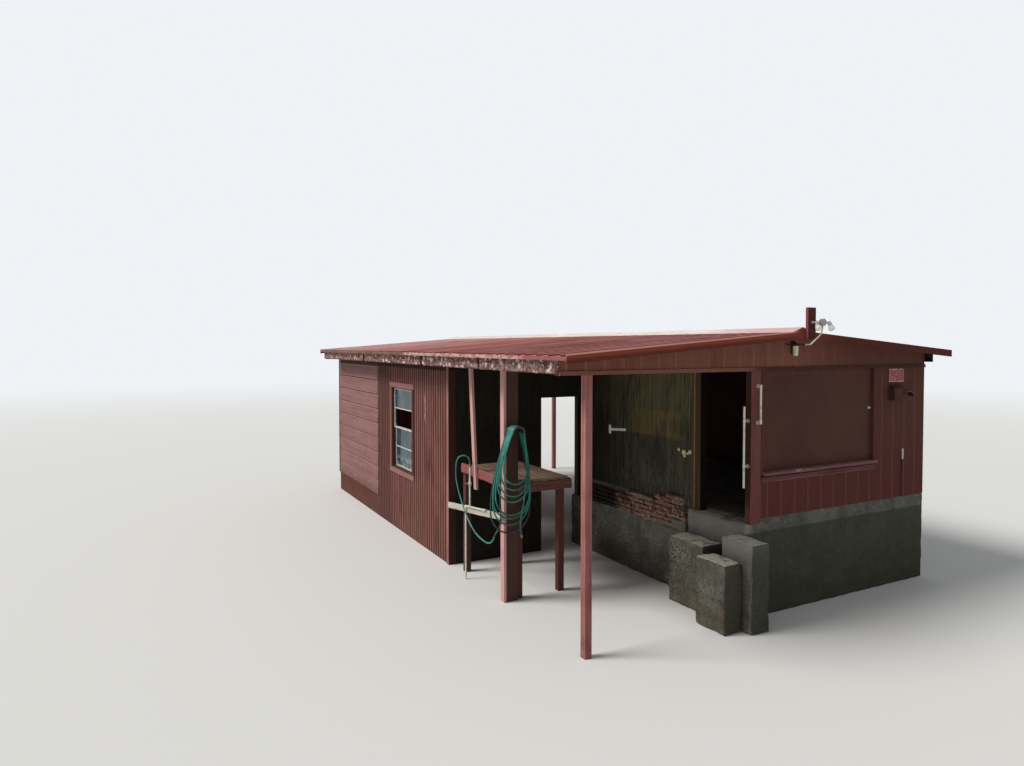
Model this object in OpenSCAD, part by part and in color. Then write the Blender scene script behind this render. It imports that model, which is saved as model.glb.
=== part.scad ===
// Timber boathouse under a low gabled roof of ribbed metal sheets.
// The near left corner is an open bay. Behind it runs a lower room, and beside it a raised room
// on a concrete foundation. Plan sizes run from the near left outside corner of the walls:
// X along the gable wall, Y along the eave wall, Z up from the lowest ground.

/* [Walls] */
// Width of the building across the gable
wall_w = 6060; // [5400:10:7200]
// Length of the building along the eaves
wall_l = 10580; // [9800:10:12600]
// Thickness of a framed and clad wall
wall_t = 100; // [80:5:160]
// Height of the underside of the plates and headers
head_z = 3142; // [2900:2:3400]
// Side of a square timber post
post = 89; // [70:1:120]
// Thickness of a framing board
board_t = 38; // [30:1:50]
// Thickness of a trim board
trim_t = 19; // [12:1:30]
// Distance between the grooves of the gable siding
groove_pitch = 254; // [150:1:320]
// Distance between the grooves of the ribbed siding
rib_groove_pitch = 102; // [80:1:160]
// Width of a siding groove
groove_w = 10; // [6:1:16]
// Depth of a siding groove
groove_d = 6; // [4:1:10]

/* [Open bay] */
// Width of the open bay, to the face of the partition
bay_w = 2496; // [2200:1:2700]
// Depth of the open bay, to the face of its back wall
bay_l = 3810; // [3300:10:4300]
// Near side of the doorway in the partition
door_y = 89; // [70:1:120]
// Width of the doorway in the partition
door_w = 790; // [650:5:900]
// Width of the jamb board on the far side of that doorway
jamb_w = 170; // [90:5:220]
// Width of the doorway in the bay's back wall
back_door_w = 730; // [600:10:740]
// Top of the doorway in the bay's back wall
back_door_z = 2585; // [2300:5:2800]
// Distance of the built-up post from the gable face
built_post_y = 1954; // [1700:2:2200]
// Width of the built-up post across the building
built_post_w = 220; // [150:5:260]
// Depth of the built-up post along the wall
built_post_d = 103; // [80:1:140]
// Lean of the built-up post's outer stud, from its head to its foot
outer_stud_lean = 15; // [0:5:15]
// Width of the single stud in the side of the bay
stud_w = 89; // [60:1:140]
// Distance of that stud's line from the gable face, at the lowest ground
stud_y = 2690; // [2500:10:2900]
// Lean of that stud, from the lowest ground to its head
stud_lean = 310; // [0:10:400]
// Height of that stud's foot, on the bench's side
stud_foot_z = 1370; // [1200:10:1480]
// Distance between the grooves of the bare plywood
plywood_pitch = 203; // [150:1:305]

/* [Raised room] */
// Height of the raised floor and its door sill
sill_z = 1200; // [1000:10:1400]
// Thickness of the raised floor
floor_t = 100; // [80:5:150]
// Thickness of the foundation walls
base_t = 204; // [150:2:300]
// Ledge of the retaining wall, in front of the partition
ledge_w = 96; // [92:1:140]
// Height of that ledge
ledge_z = 860; // [700:10:1000]
// Height of the bottom edge of the siding on the foundation
siding_z = 1260; // [1210:5:1380]
// Length of a brick
brick_l = 203; // [190:1:230]
// Width of a brick
brick_w = 92; // [85:1:96]
// Height of a brick course with its joint
brick_course_h = 68; // [60:1:76]
// Joint between the bricks and the door landing
brick_gap = 40; // [10:5:80]
// Distance of the bricks' far end from the back face of the bay's back wall
brick_back = 310; // [200:10:400]
// Going of the two steps in front of the door landing
step_going = 300; // [250:10:340]
// Length of the lower step
low_step_l = 500; // [400:10:600]
// Height of the lower step
low_step_z = 850; // [760:10:900]
// Reach of the lower step in front of the gable face
low_step_reach = 270; // [150:10:350]
// Length of the upper step
high_step_l = 510; // [400:10:600]
// Height of the upper step
high_step_z = 1085; // [1000:5:1150]
// Reach of the upper step in front of the gable face
high_step_reach = 410; // [300:10:500]
// Width of the side step, across the building
side_step_w = 350; // [280:10:400]
// Length of the side step
side_step_l = 650; // [500:10:700]
// Height of the side step
side_step_z = 890; // [800:10:950]
// Distance of the side step from the gable face
side_step_y = 370; // [240:10:450]

/* [Shutter] */
// Width of the pilaster between the doorway and the shutter
pilaster_w = 185; // [120:5:240]
// Width of the shutter opening
shutter_w = 2191; // [1900:1:2400]
// Bottom of the shutter opening
shutter_z = 1848; // [1600:2:2100]
// Depth of the shutter behind the wall face
shutter_recess = 45; // [20:5:60]
// Thickness of the shutter panel
shutter_t = 30; // [20:1:40]
// Height of the upper sill board
sill_board_h = 45; // [30:1:60]
// Reach of the upper sill board in front of the wall
sill_reach = 70; // [40:5:120]
// Height of the board under the sill
drop_board_h = 90; // [60:5:140]
// Height of the board over the shutter
head_board_h = 60; // [40:5:100]
// Reach of the shutter's side boards in front of the wall
frame_proud = 8; // [4:1:15]

/* [Left wall] */
// Start of the lapped siding
lap_y = 7540; // [7100:10:7900]
// Bottom of the lapped siding
lap_z = 423; // [300:1:600]
// Exposure of one lapped board
lap_exposure = 293; // [150:1:320]
// Depth of the lapped board's lower edge
lap_step = 12; // [8:1:20]
// Near side of the window opening
win_y = 5510; // [5200:10:5800]
// Width of the window opening
win_w = 1120; // [800:10:1300]
// Bottom of the window opening
win_z = 1150; // [1000:10:1300]
// Height of the window opening
win_h = 1520; // [1200:10:1700]
// Width of the window's casing boards
casing_w = 102; // [70:1:140]
// Width of a sash bar
sash_w = 36; // [25:1:50]
// Thickness of a sash
sash_t = 28; // [20:1:35]
// Thickness of the window glass
glass_t = 4; // [3:0.5:6]
// Width of a corner board
corner_board_w = 90; // [60:5:120]
// Height of the strip along the foot of the front header
strip_h = 45; // [30:1:60]

/* [Roof] */
// Height of the roof sheets at the ridge
ridge_z = 3646; // [3500:2:3900]
// Rise of the roof for each unit of run
slope = 0.079; // [0.05:0.001:0.12]
// Reach of the roof in front of the gable wall
over_front = 330; // [200:5:500]
// Reach of the roof behind the back wall
over_back = 60; // [40:5:300]
// Reach of the roof beyond the left wall
over_left = 455; // [380:5:600]
// Reach of the roof beyond the right wall
over_right = 120; // [90:5:300]
// Distance between the ribs of the roof sheets
roof_rib_pitch = 250; // [200:2:320]
// Height of a roof rib
roof_rib_h = 19; // [14:1:28]
// Width of a roof rib at its foot
roof_rib_w = 62; // [50:1:80]
// Thickness of a roof sheet
sheet_t = 2; // [1:0.5:4]
// Height of a purlin
purlin_h = 38; // [30:1:50]
// Width of a purlin
purlin_w = 89; // [70:1:120]
// Height of a rafter
rafter_h = 89; // [70:1:110]
// Height of the ridge beam
ridge_beam_h = 184; // [140:1:240]
// Greatest distance between rafters
rafter_pitch = 1220; // [900:10:1400]
// Distance from the left wall to the outer face of the eave's fascia board
fascia_x = 381; // [330:1:420]
// Height of the left fascia board
fascia_h = 195; // [140:5:220]
// Height of the right fascia board
right_fascia_h = 155; // [120:5:200]
// Height of the rake trim
rake_h = 95; // [70:5:140]
// Height of the eave trim
eave_trim_h = 62; // [40:2:80]
// Thickness of the roof's trims
roof_trim_t = 10; // [6:1:16]
// Width of the ridge cap
cap_w = 400; // [300:10:500]
// Height of the cap's fold above the ribs
cap_rise = 48; // [20:2:70]

/* [Fittings] */
// Height of the plank at the ridge, above the foot of the rake trim
peak_post_h = 390; // [300:10:600]
// Width of that plank
peak_post_w = 140; // [89:1:184]
// Distance of that plank from the ridge line
peak_post_gap = 43; // [0:1:60]
// Height of the workbench top
bench_z = 1630; // [1400:10:1800]
// Distance of the workbench's right side from the left wall face
bench_x1 = 1090; // [900:10:1200]
// Distance between the workbench and the bay's back wall
bench_gap = 356; // [100:2:600]
// Height of the workbench's apron boards
apron_h = 140; // [90:5:180]
// Rise of the workbench's side board over its top
bench_lip = 40; // [20:5:60]
// Overhang of the workbench over its right legs
bench_overhang = 112; // [60:2:160]
// Height of the rail beside the built-up post, at its upper end
rail_board_z = 1215; // [1100:5:1300]
// Height of that rail's board
rail_board_h = 100; // [80:5:140]
// Fall of that rail towards the ribbed wall
rail_board_fall = 205; // [0:5:260]
// Outer diameter of the handrails
rail_d = 27; // [20:1:34]
// Diameter of the handrails' brackets
bracket_d = 20; // [14:1:26]
// Distance of the doorway's handrail from the pilaster's side
door_rail_gap = 66; // [50:1:90]
// Height of the foot of the doorway's handrail
door_rail_z = 1660; // [1500:10:1800]
// Length of the doorway's handrail
door_rail_l = 1040; // [800:10:1200]
// Distance of the pilaster's handrail from the pilaster's face
face_rail_gap = 50; // [40:1:80]
// Distance of the pilaster's handrail from the doorway
face_rail_x = 114; // [60:1:150]
// Height of the foot of the pilaster's handrail
face_rail_z = 2470; // [2200:10:2600]
// Length of the pilaster's handrail
face_rail_l = 505; // [400:5:600]
// Outer diameter of the white water pipes
pipe_d = 27; // [20:1:34]
// Distance of the tap's riser from the gable face
riser_y = 2930; // [2800:10:3100]
// Height of the top of the tap's riser
riser_z = 1690; // [1500:10:1900]
// Distance of the pipe that comes up from the ground, from the gable face
supply_y = 3077; // [3000:1:3300]
// Distance of the far end of the pipe along the rail, from the gable face
pipe_run_y = 2400; // [2200:10:2700]
// Height of the valve on the tap's riser
valve_z = 1420; // [1300:10:1480]
// Outer diameter of the pipe on the gable wall
wall_pipe_d = 22; // [16:1:30]
// Height of that pipe's top
wall_pipe_top = 1960; // [1700:10:2100]
// Width of the bare board on the gable wall
sign_w = 330; // [250:5:400]
// Height of that board
sign_h = 190; // [140:5:240]
// Height of the board's foot
sign_z = 2940; // [2800:10:2945]
// Width of the box under the board
box_w = 220; // [160:5:260]
// Height of that box
box_h = 220; // [160:5:240]
// Height of that box's foot
box_z = 2680; // [2500:10:2690]
// Depth of that box
box_d = 100; // [60:5:130]
// Radius of a floodlight's lens
lens_r = 40; // [30:1:55]
// Length of a floodlight, from its pivot to the rim of its lens
flood_l = 118; // [90:2:150]
// Height of the floodlights' bar above the ridge
lamp_bar_rise = 110; // [80:5:160]
// Length of the floodlights' bar
lamp_bar_l = 290; // [240:10:340]
// Diameter of the round box on that bar
lamp_box_d = 96; // [70:2:110]
// Diameter of the lamps' conduit
conduit_d = 18; // [14:1:24]
// Distance of the jar lamp from the ridge line
jar_gap = 200; // [160:2:300]
// Depth of the jar lamp's glass under its canopy
jar_h = 133; // [100:1:160]
// Diameter of the jar lamp's canopy
canopy_d = 84; // [70:2:100]

/* [Hose] */
// Outer diameter of the garden hose
hose_d = 22; // [16:1:26]
// Number of turns that hang on the hanger
hose_turns = 9; // [3:1:10]
// Distance of the hanger from the left wall face
hanger_x = 120; // [80:5:140]
// Height of the hanger's middle
hanger_z = 2302; // [2100:2:2400]
// Outer radius of the hanger's saddle
saddle_r = 77; // [60:1:90]
// Height of the underside of the longest turn
coil_z = 939; // [850:1:1100]
// Half the width of the widest turn
coil_rx = 300; // [220:5:340]
// Height from the underside of the longest turn to its widest place
coil_rz = 331; // [250:1:380]

/* [Hidden] */

timber_red = "#7a4640";
trim_red = "#96625a";
roof_red = "#a05a50";
shutter_red = "#5c2c28";
grey_wood = "#8a827a";
concrete_grey = "#8d8a84";

// Smallest overlap of a cutting shape past what it cuts
past = 1;

ridge_x = wall_w / 2;
pitch = atan(slope);
// Vertical distance from the top of the ribs down to the underside of the sheets
sheet_drop = (roof_rib_h + sheet_t) / cos(pitch);
purlin_drop = sheet_drop + purlin_h;
rafter_drop = purlin_drop + rafter_h;

// Height of the plane of the rib tops at a distance x from the left wall face
function roof_z(x) = ridge_z - slope * abs(x - ridge_x);

// The floodlights point down and to the left, and their lenses reach furthest to the front
flood_tilt = 45;
flood_turn = 30;
flood_gap = 30;
flood_aim = cos(flood_tilt) * cos(flood_turn);
lamp_bar_y = over_front + board_t + flood_gap;
front_reach = lamp_bar_y + flood_l * flood_aim + lens_r * sqrt(1 - flood_aim * flood_aim);

// The plan's middle, on which the model stands
mid_x = (wall_w + over_right - over_left) / 2;
mid_y = (wall_l + over_back - front_reach) / 2;
module on_plan() translate([-mid_x, -mid_y, 0]) children();

// A box between two corners
module block(low, high) translate(low) cube(high - low);

// A slab that runs along Y, from its outline in X and Z
module along_y(y0, y1) translate([0, y1, 0]) rotate([90, 0, 0]) linear_extrude(y1 - y0) children();

// A slab that runs along X, from its outline in Y and Z
module along_x(x0, x1) translate([x0, 0, 0]) rotate([90, 0, 90]) linear_extrude(x1 - x0) children();

// Outline of a piece that lies between two planes parallel with the roof
module roof_band(x0, x1, drop_top, drop_bottom) {
    middle = x0 < ridge_x && x1 > ridge_x ? [ridge_x] : [];
    xs = concat([x0], middle, [x1]);
    last = len(xs) - 1;
    top = [for (i = [0:last]) [xs[i], roof_z(xs[i]) - drop_top]];
    bottom = [for (i = [last:-1:0]) [xs[i], roof_z(xs[i]) - drop_bottom]];
    polygon(concat(top, bottom));
}

// Outline of a piece with a level foot and its top cut parallel with the roof
module under_roof(x0, x1, z0, drop) {
    middle = x0 < ridge_x && x1 > ridge_x ? [[ridge_x, ridge_z - drop]] : [];
    polygon(concat([[x0, z0], [x0, roof_z(x0) - drop]], middle, [[x1, roof_z(x1) - drop], [x1, z0]]));
}

// Upright grooves in a face at Y = face, on a grid that starts at the left wall
module grooves_along_x(x0, x1, z0, z1, face, sign, step) {
    first = ceil((x0 + 2 * groove_w) / step);
    last = floor((x1 - 2 * groove_w) / step);
    for (i = [first:1:last])
        block([i * step - groove_w / 2, min(face, face + sign * groove_d), z0 - past],
            [i * step + groove_w / 2, max(face, face + sign * groove_d), z1 + past]);
}

// Upright grooves in a face at X = face, on a grid that starts at the gable wall
module grooves_along_y(y0, y1, z0, z1, face, sign, step) {
    first = ceil((y0 + 2 * groove_w) / step);
    last = floor((y1 - 2 * groove_w) / step);
    for (i = [first:1:last])
        block([min(face, face + sign * groove_d), i * step - groove_w / 2, z0 - past],
            [max(face, face + sign * groove_d), i * step + groove_w / 2, z1 + past]);
}

// A slab of wall in the gable plane, with grooved siding on its face at Y = 0
module front_slab(x0, x1, z0, z1) difference() {
    block([x0, 0, z0], [x1, wall_t, z1]);
    grooves_along_x(x0, x1, z0, z1, 0, 1, groove_pitch);
}

// A slab of wall in the left eave plane, with ribbed siding on its face at X = 0
module left_slab(y0, y1, z0, z1) difference() {
    block([0, y0, z0], [wall_t, y1, z1]);
    grooves_along_y(y0, y1, z0, z1, 0, 1, rib_groove_pitch);
}

partition_x1 = bay_w + wall_t;
stem_x0 = bay_w - ledge_w;
pilaster_x1 = bay_w + pilaster_w;
shutter_x0 = pilaster_x1 + trim_t;
shutter_x1 = shutter_x0 + shutter_w;
// Middle of the wall between the shutter and the right corner
right_panel_x = (shutter_x1 + trim_t + wall_w) / 2;
back_door_x1 = stem_x0;
back_door_x0 = back_door_x1 - back_door_w;
room_back_y = bay_l + wall_t;
door_y1 = door_y + door_w;
jamb_y1 = door_y1 + jamb_w;
// The open corner at the back repeats the near one, turned half way round
far_bay_x = wall_w - bay_w;
far_bay_y = wall_l - bay_l;

module foundation() on_plan() color(concrete_grey) {
    // The retaining wall keeps a ledge for the bricks, up to the door landing
    difference() {
        block([stem_x0, 0, 0], [bay_w + base_t, room_back_y + base_t - wall_t, sill_z - floor_t]);
        block([stem_x0 - past, jamb_y1, ledge_z],
            [bay_w, room_back_y + base_t, sill_z]);
    }
    block([stem_x0, 0, sill_z - floor_t], [bay_w + base_t / 2, jamb_y1, sill_z]);
    block([bay_w, jamb_y1, sill_z - floor_t], [bay_w + base_t / 2, room_back_y + base_t - wall_t, sill_z]);
    block([bay_w + base_t, 0, 0], [wall_w - base_t, base_t, sill_z - floor_t]);
    block([bay_w + base_t, bay_l, 0], [wall_w - base_t, bay_l + base_t, sill_z - floor_t]);
    block([wall_w - base_t, 0, 0], [wall_w, bay_l + base_t, sill_z - floor_t]);
    block([bay_w + base_t / 2, 0, sill_z - floor_t], [pilaster_x1, wall_t, sill_z]);
    block([pilaster_x1, 0, sill_z - floor_t], [wall_w, wall_t, siding_z]);
    block([wall_w - wall_t, wall_t, sill_z - floor_t], [wall_w, bay_l + base_t, siding_z]);
}

module room_floor() on_plan() color(concrete_grey)
    block([bay_w + base_t / 2, wall_t, sill_z - floor_t], [wall_w - wall_t, bay_l + base_t, sill_z]);

module right_wall_base() on_plan() color(concrete_grey)
    block([wall_w - base_t, bay_l + base_t, 0], [wall_w, far_bay_y, siding_z]);

// Bricks broken away from the near end of each course, from the lowest up
bricks_missing = [0, 0, 1.25, 3, 5];

module brick_course() on_plan() color("#83564a")
    for (i = [0:1:len(bricks_missing) - 1])
        block([bay_w - brick_w, jamb_y1 + brick_gap + bricks_missing[i] * brick_l,
            ledge_z + i * brick_course_h],
            [bay_w, room_back_y - brick_back, ledge_z + (i + 1) * brick_course_h]);

module step_blocks() on_plan() color(concrete_grey) {
    block([stem_x0 - 2 * step_going, -low_step_reach, 0],
        [stem_x0 - step_going, low_step_l - low_step_reach, low_step_z]);
    block([stem_x0 - step_going, -high_step_reach, 0], [stem_x0, high_step_l - high_step_reach, high_step_z]);
    block([stem_x0 - side_step_w, side_step_y, 0], [stem_x0, side_step_y + side_step_l, side_step_z]);
}

// Outline in Y and Z of a stud that leans away from the gable, from a height up to the plates
module leaning(y, width, lean, foot_z) {
    at_foot = y + lean * foot_z / head_z;
    polygon([[at_foot, foot_z], [at_foot + width, foot_z], [y + lean + width, head_z], [y + lean, head_z]]);
}

// The corner posts of the open bays, the built-up post and a leaning stud in the near bay
module posts() on_plan() {
    color(trim_red) block([0, 0, 0], [post, post, head_z]);
    color(trim_red) block([wall_w - post, wall_l - post, 0], [wall_w, wall_l, head_z]);
    color(timber_red) {
        along_x(0, board_t) leaning(built_post_y - outer_stud_lean, built_post_d, outer_stud_lean, 0);
        block([board_t, built_post_y, 0], [built_post_w, built_post_y + built_post_d, head_z]);
    }
    color(grey_wood) along_x(0, board_t) leaning(stud_y, stud_w, stud_lean, stud_foot_z);
}

module pilaster() on_plan() color(timber_red)
    block([bay_w, 0, sill_z], [pilaster_x1, post, head_z]);

// The clad bands over both gable walls, each with its ends at the left fascia board
module gable_headers() on_plan() color(timber_red) {
    difference() {
        along_y(0, wall_t) under_roof(board_t - fascia_x, wall_w, head_z, purlin_drop);
        grooves_along_x(0, wall_w, head_z, ridge_z, 0, 1, groove_pitch);
    }
    difference() {
        along_y(wall_l - wall_t, wall_l) under_roof(board_t - fascia_x, wall_w, head_z, purlin_drop);
        grooves_along_x(0, wall_w, head_z, ridge_z, wall_l, -1, groove_pitch);
    }
}

module front_wall_low() on_plan() color(timber_red)
    front_slab(pilaster_x1, wall_w, siding_z, shutter_z - sill_board_h);

module front_wall_right() on_plan() color(timber_red)
    front_slab(shutter_x1 + trim_t, wall_w, shutter_z - sill_board_h, head_z);

// Boards that line the shutter opening
module shutter_frame() on_plan() color(trim_red) {
    block([shutter_x0 - trim_t, -frame_proud, shutter_z], [shutter_x0, wall_t, head_z]);
    block([shutter_x1, -frame_proud, shutter_z], [shutter_x1 + trim_t, wall_t, head_z]);
    block([shutter_x0, shutter_recess, head_z - head_board_h], [shutter_x1, wall_t, head_z]);
}

module shutter_panel() on_plan() color(shutter_red)
    block([shutter_x0, shutter_recess, shutter_z],
        [shutter_x1, shutter_recess + shutter_t, head_z - head_board_h]);

module sill_boards() on_plan() color(timber_red) {
    block([shutter_x0 - trim_t, -sill_reach, shutter_z - sill_board_h],
        [shutter_x1 + trim_t, wall_t, shutter_z]);
    block([shutter_x0 - trim_t, -trim_t, shutter_z - sill_board_h - drop_board_h],
        [shutter_x1 + trim_t, 0, shutter_z - sill_board_h]);
}

module partition_wall() on_plan() color("#5b554b") difference() {
    block([bay_w, jamb_y1, sill_z], [partition_x1, bay_l, head_z]);
    grooves_along_y(jamb_y1, bay_l, sill_z, head_z, bay_w, 1, plywood_pitch);
}

// The jamb board of the partition's doorway, and the post beside the bay's back doorway
module door_jambs() on_plan() color(timber_red) {
    block([bay_w - trim_t, door_y1, sill_z], [partition_x1, jamb_y1, head_z]);
    block([back_door_x1, bay_l, ledge_z], [bay_w, room_back_y, back_door_z]);
}

module bay_back_wall() on_plan() color("#4a443c")
    block([wall_t, bay_l, 0], [back_door_x0, room_back_y, head_z]);

module bay_back_header() on_plan() color("#4a443c")
    block([back_door_x0, bay_l, back_door_z], [bay_w, room_back_y, head_z]);

module ribbed_wall_sides() on_plan() color(timber_red) {
    left_slab(bay_l, win_y, 0, head_z);
    left_slab(win_y + win_w, lap_y, 0, head_z);
}

// The pieces of ribbed wall under and over the window
module ribbed_wall_middle() on_plan() color(timber_red) {
    left_slab(win_y, win_y + win_w, 0, win_z);
    left_slab(win_y, win_y + win_w, win_z + win_h, head_z);
}

module window_casing() on_plan() color(trim_red) difference() {
    block([-trim_t, win_y - casing_w, win_z - casing_w],
        [0, win_y + win_w + casing_w, win_z + win_h + casing_w]);
    block([-trim_t - past, win_y, win_z], [past, win_y + win_w, win_z + win_h]);
}

// A sash with one cross bar, from its foot to its head
module sash(x, z0, z1) difference() {
    block([x, win_y, z0], [x + sash_t, win_y + win_w, z1]);
    for (i = [0, 1]) {
        low = z0 + sash_w + i * (z1 - z0 - sash_w) / 2;
        block([x - past, win_y + sash_w, low],
            [x + sash_t + past, win_y + win_w - sash_w, low + (z1 - z0 - 3 * sash_w) / 2]);
    }
}

upper_sash_x = 34;
lower_sash_x = upper_sash_x + sash_t;
meeting_z = win_z + win_h / 2;

module window_sashes() on_plan() color("#cfc8c4") {
    sash(upper_sash_x, meeting_z - sash_w / 2, win_z + win_h);
    sash(lower_sash_x, win_z, meeting_z + sash_w / 2);
}

// Panes of the two sashes, with the lower pane of the upper sash missing
module window_glass() on_plan() color("#5f7f88") {
    sash_h = win_h / 2 + sash_w / 2;
    pane_h = (sash_h - 3 * sash_w) / 2;
    pane_step = pane_h + sash_w;
    for (p = [[upper_sash_x, meeting_z - sash_w / 2, 1], [lower_sash_x, win_z, 0], [lower_sash_x, win_z, 1]])
        block([p.x + (sash_t - glass_t) / 2, win_y + sash_w, p.y + sash_w + p.z * pane_step],
            [p.x + (sash_t + glass_t) / 2, win_y + win_w - sash_w, p.y + sash_w + p.z * pane_step + pane_h]);
}

// Lapped boards, each one's lower edge standing out over the next
module lap_wall() on_plan() color(timber_red) {
    courses = floor((head_z - lap_z) / lap_exposure);
    steps = [for (i = [0:1:courses - 1]) each [
        [-lap_step, lap_z + i * lap_exposure],
        [0, lap_z + (i + 1) * lap_exposure]
    ]];
    last_z = lap_z + courses * lap_exposure;
    along_y(lap_y, wall_l) polygon(concat(steps,
        [[-lap_step, last_z], [-lap_step / 2, head_z], [wall_t, head_z], [wall_t, lap_z]]));
}

module base_skirt() on_plan() color(shutter_red)
    block([0, lap_y, 0], [wall_t, wall_l, lap_z]);

// The corner boards of the left wall, and the strip along the foot of the front header
module trim_boards() on_plan() color(trim_red) {
    block([-trim_t, bay_l, 0], [0, bay_l + corner_board_w, head_z]);
    block([-trim_t - lap_step, wall_l - corner_board_w / 2, lap_z], [-lap_step, wall_l, head_z]);
    block([board_t - fascia_x, -trim_t, head_z], [wall_w, 0, head_z + strip_h]);
}

module back_wall() on_plan() color(timber_red) difference() {
    block([wall_t, wall_l - wall_t, 0], [far_bay_x, wall_l, head_z]);
    grooves_along_x(wall_t, far_bay_x, 0, head_z, wall_l, -1, groove_pitch);
}

module right_wall() on_plan() color(timber_red) difference() {
    block([wall_w - wall_t, wall_t, siding_z], [wall_w, far_bay_y, head_z]);
    grooves_along_y(wall_t, far_bay_y, siding_z, head_z, wall_w, -1, groove_pitch);
}

module wall_plates() on_plan() color(grey_wood) {
    along_y(wall_t, wall_l - wall_t) under_roof(0, wall_t, head_z, rafter_drop);
    along_y(wall_t, wall_l - wall_t) under_roof(wall_w - wall_t, wall_w, head_z, rafter_drop);
    along_y(wall_t, bay_l + wall_t) under_roof(bay_w, partition_x1, head_z, rafter_drop);
}

rafter_bays = ceil((wall_l - 2 * wall_t) / rafter_pitch);
rafter_step = (wall_l - 2 * wall_t) / rafter_bays;

module rafters() on_plan() color(grey_wood)
    for (i = [1:1:rafter_bays - 1]) {
        y = wall_t + i * rafter_step - board_t / 2;
        along_y(y, y + board_t) roof_band(board_t - fascia_x, ridge_x - board_t / 2, purlin_drop, rafter_drop);
        along_y(y, y + board_t) roof_band(ridge_x + board_t / 2, wall_w, purlin_drop, rafter_drop);
    }

module ridge_beam() on_plan() color(grey_wood)
    along_y(wall_t, wall_l - wall_t)
        under_roof(ridge_x - board_t / 2, ridge_x + board_t / 2,
            ridge_z - purlin_drop - ridge_beam_h, purlin_drop);

roof_y0 = roof_trim_t - over_front;
roof_y1 = wall_l + over_back - roof_trim_t;
purlin_left_x0 = board_t - fascia_x;
purlins_left = [for (i = [0:3]) purlin_left_x0 + i * (ridge_x - purlin_w - purlin_left_x0) / 3];
purlins_right = [for (i = [0:3]) ridge_x + i * (wall_w - purlin_w - ridge_x) / 3];

module purlins() on_plan() color(grey_wood) {
    for (x = purlins_left) along_y(roof_y0, roof_y1) roof_band(x, x + purlin_w, sheet_drop, purlin_drop);
    for (x = purlins_right) along_y(roof_y0, roof_y1) roof_band(x, x + purlin_w, sheet_drop, purlin_drop);
}

// Profile of the ribbed sheets, ribs up, for a length along the eave
module sheet_profile(length) {
    count = floor((length - roof_rib_w) / roof_rib_pitch);
    start = (length - count * roof_rib_pitch) / 2;
    half_foot = roof_rib_w / 2;
    half_top = half_foot - roof_rib_h * 0.6;
    upper = [for (i = [0:1:count]) each [
        [start + i * roof_rib_pitch - half_foot, sheet_t],
        [start + i * roof_rib_pitch - half_top, roof_rib_h + sheet_t],
        [start + i * roof_rib_pitch + half_top, roof_rib_h + sheet_t],
        [start + i * roof_rib_pitch + half_foot, sheet_t]
    ]];
    lower = [for (i = [count:-1:0]) each [
        [start + i * roof_rib_pitch + half_foot - sheet_t, 0],
        [start + i * roof_rib_pitch + half_top - sheet_t / 2, roof_rib_h],
        [start + i * roof_rib_pitch - half_top + sheet_t / 2, roof_rib_h],
        [start + i * roof_rib_pitch - half_foot + sheet_t, 0]
    ]];
    polygon(concat([[0, sheet_t]], upper, [[length, sheet_t], [length, 0]], lower, [[0, 0]]));
}

// A roof slope that rises from its eave for a run on plan, along +X
module roof_slope(run)
    rotate([0, -pitch, 0]) rotate([90, 0, 90]) linear_extrude(run / cos(pitch))
        sheet_profile(roof_y1 - roof_y0);

eave_left_x = roof_trim_t - over_left;
eave_right_x = wall_w + over_right - roof_trim_t;
// The sheets' square-cut ends lean out over their own foot by this much
sheet_lean = (roof_rib_h + sheet_t) * sin(pitch);
sheet_left_x = eave_left_x + sheet_lean;
sheet_right_x = eave_right_x - sheet_lean;

module roof_sheets_left() on_plan() color(roof_red)
    translate([sheet_left_x, roof_y0, roof_z(sheet_left_x) - sheet_drop]) roof_slope(ridge_x - sheet_left_x);

module roof_sheets_right() on_plan() color(roof_red)
    translate([sheet_right_x, roof_y0, roof_z(sheet_right_x) - sheet_drop])
        mirror([1, 0, 0]) roof_slope(sheet_right_x - ridge_x);

// The cap is folded for a steeper roof: its hems lie on the ribs and its fold stands above them
cap_hem = 30;
cap_xs = [ridge_x - cap_w / 2, ridge_x - cap_w / 2 + cap_hem, ridge_x,
    ridge_x + cap_w / 2 - cap_hem, ridge_x + cap_w / 2];
function cap_z(x) = roof_z(x) + (x == ridge_x ? cap_rise : 0);

module ridge_cap() on_plan() color("#b98f86")
    along_y(roof_y0, roof_y1) polygon(concat(
        [for (x = cap_xs) [x, cap_z(x) + sheet_t]],
        [for (i = [len(cap_xs) - 1:-1:0]) [cap_xs[i], cap_z(cap_xs[i])]]));

// The trims close the ends of the cap's fold too
module rake_trims() on_plan() color(shutter_red)
    for (y = [-over_front, roof_y1])
        along_y(y, y + roof_trim_t) {
            roof_band(-over_left, wall_w + over_right, -sheet_t, rake_h);
            polygon(concat([for (i = [1:3]) [cap_xs[i], cap_z(cap_xs[i]) + sheet_t]],
                [[ridge_x, ridge_z - rake_h / 2]]));
        }

// An angle along the edge of the sheets, its leg turned in above the fascia. The ends of the ribs
// stand above it.
module eave_trims() on_plan() color(trim_red) {
    along_y(roof_y0, roof_y1) {
        roof_band(-over_left, eave_left_x, roof_rib_h, eave_trim_h);
        roof_band(eave_left_x, purlin_left_x0, sheet_drop, sheet_drop + roof_trim_t);
    }
    along_y(roof_y0, roof_y1) {
        roof_band(eave_right_x, wall_w + over_right, roof_rib_h, eave_trim_h);
        roof_band(wall_w, eave_right_x, sheet_drop, sheet_drop + roof_trim_t);
    }
}

// The fascias close the ends of the two clad bands
module fascia_boards() on_plan() color(grey_wood) {
    drop = sheet_drop + roof_trim_t;
    along_y(0, wall_l) roof_band(-fascia_x, board_t - fascia_x, drop, drop + fascia_h);
    along_y(0, wall_l) roof_band(wall_w, wall_w + board_t, drop, drop + right_fascia_h);
}

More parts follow.
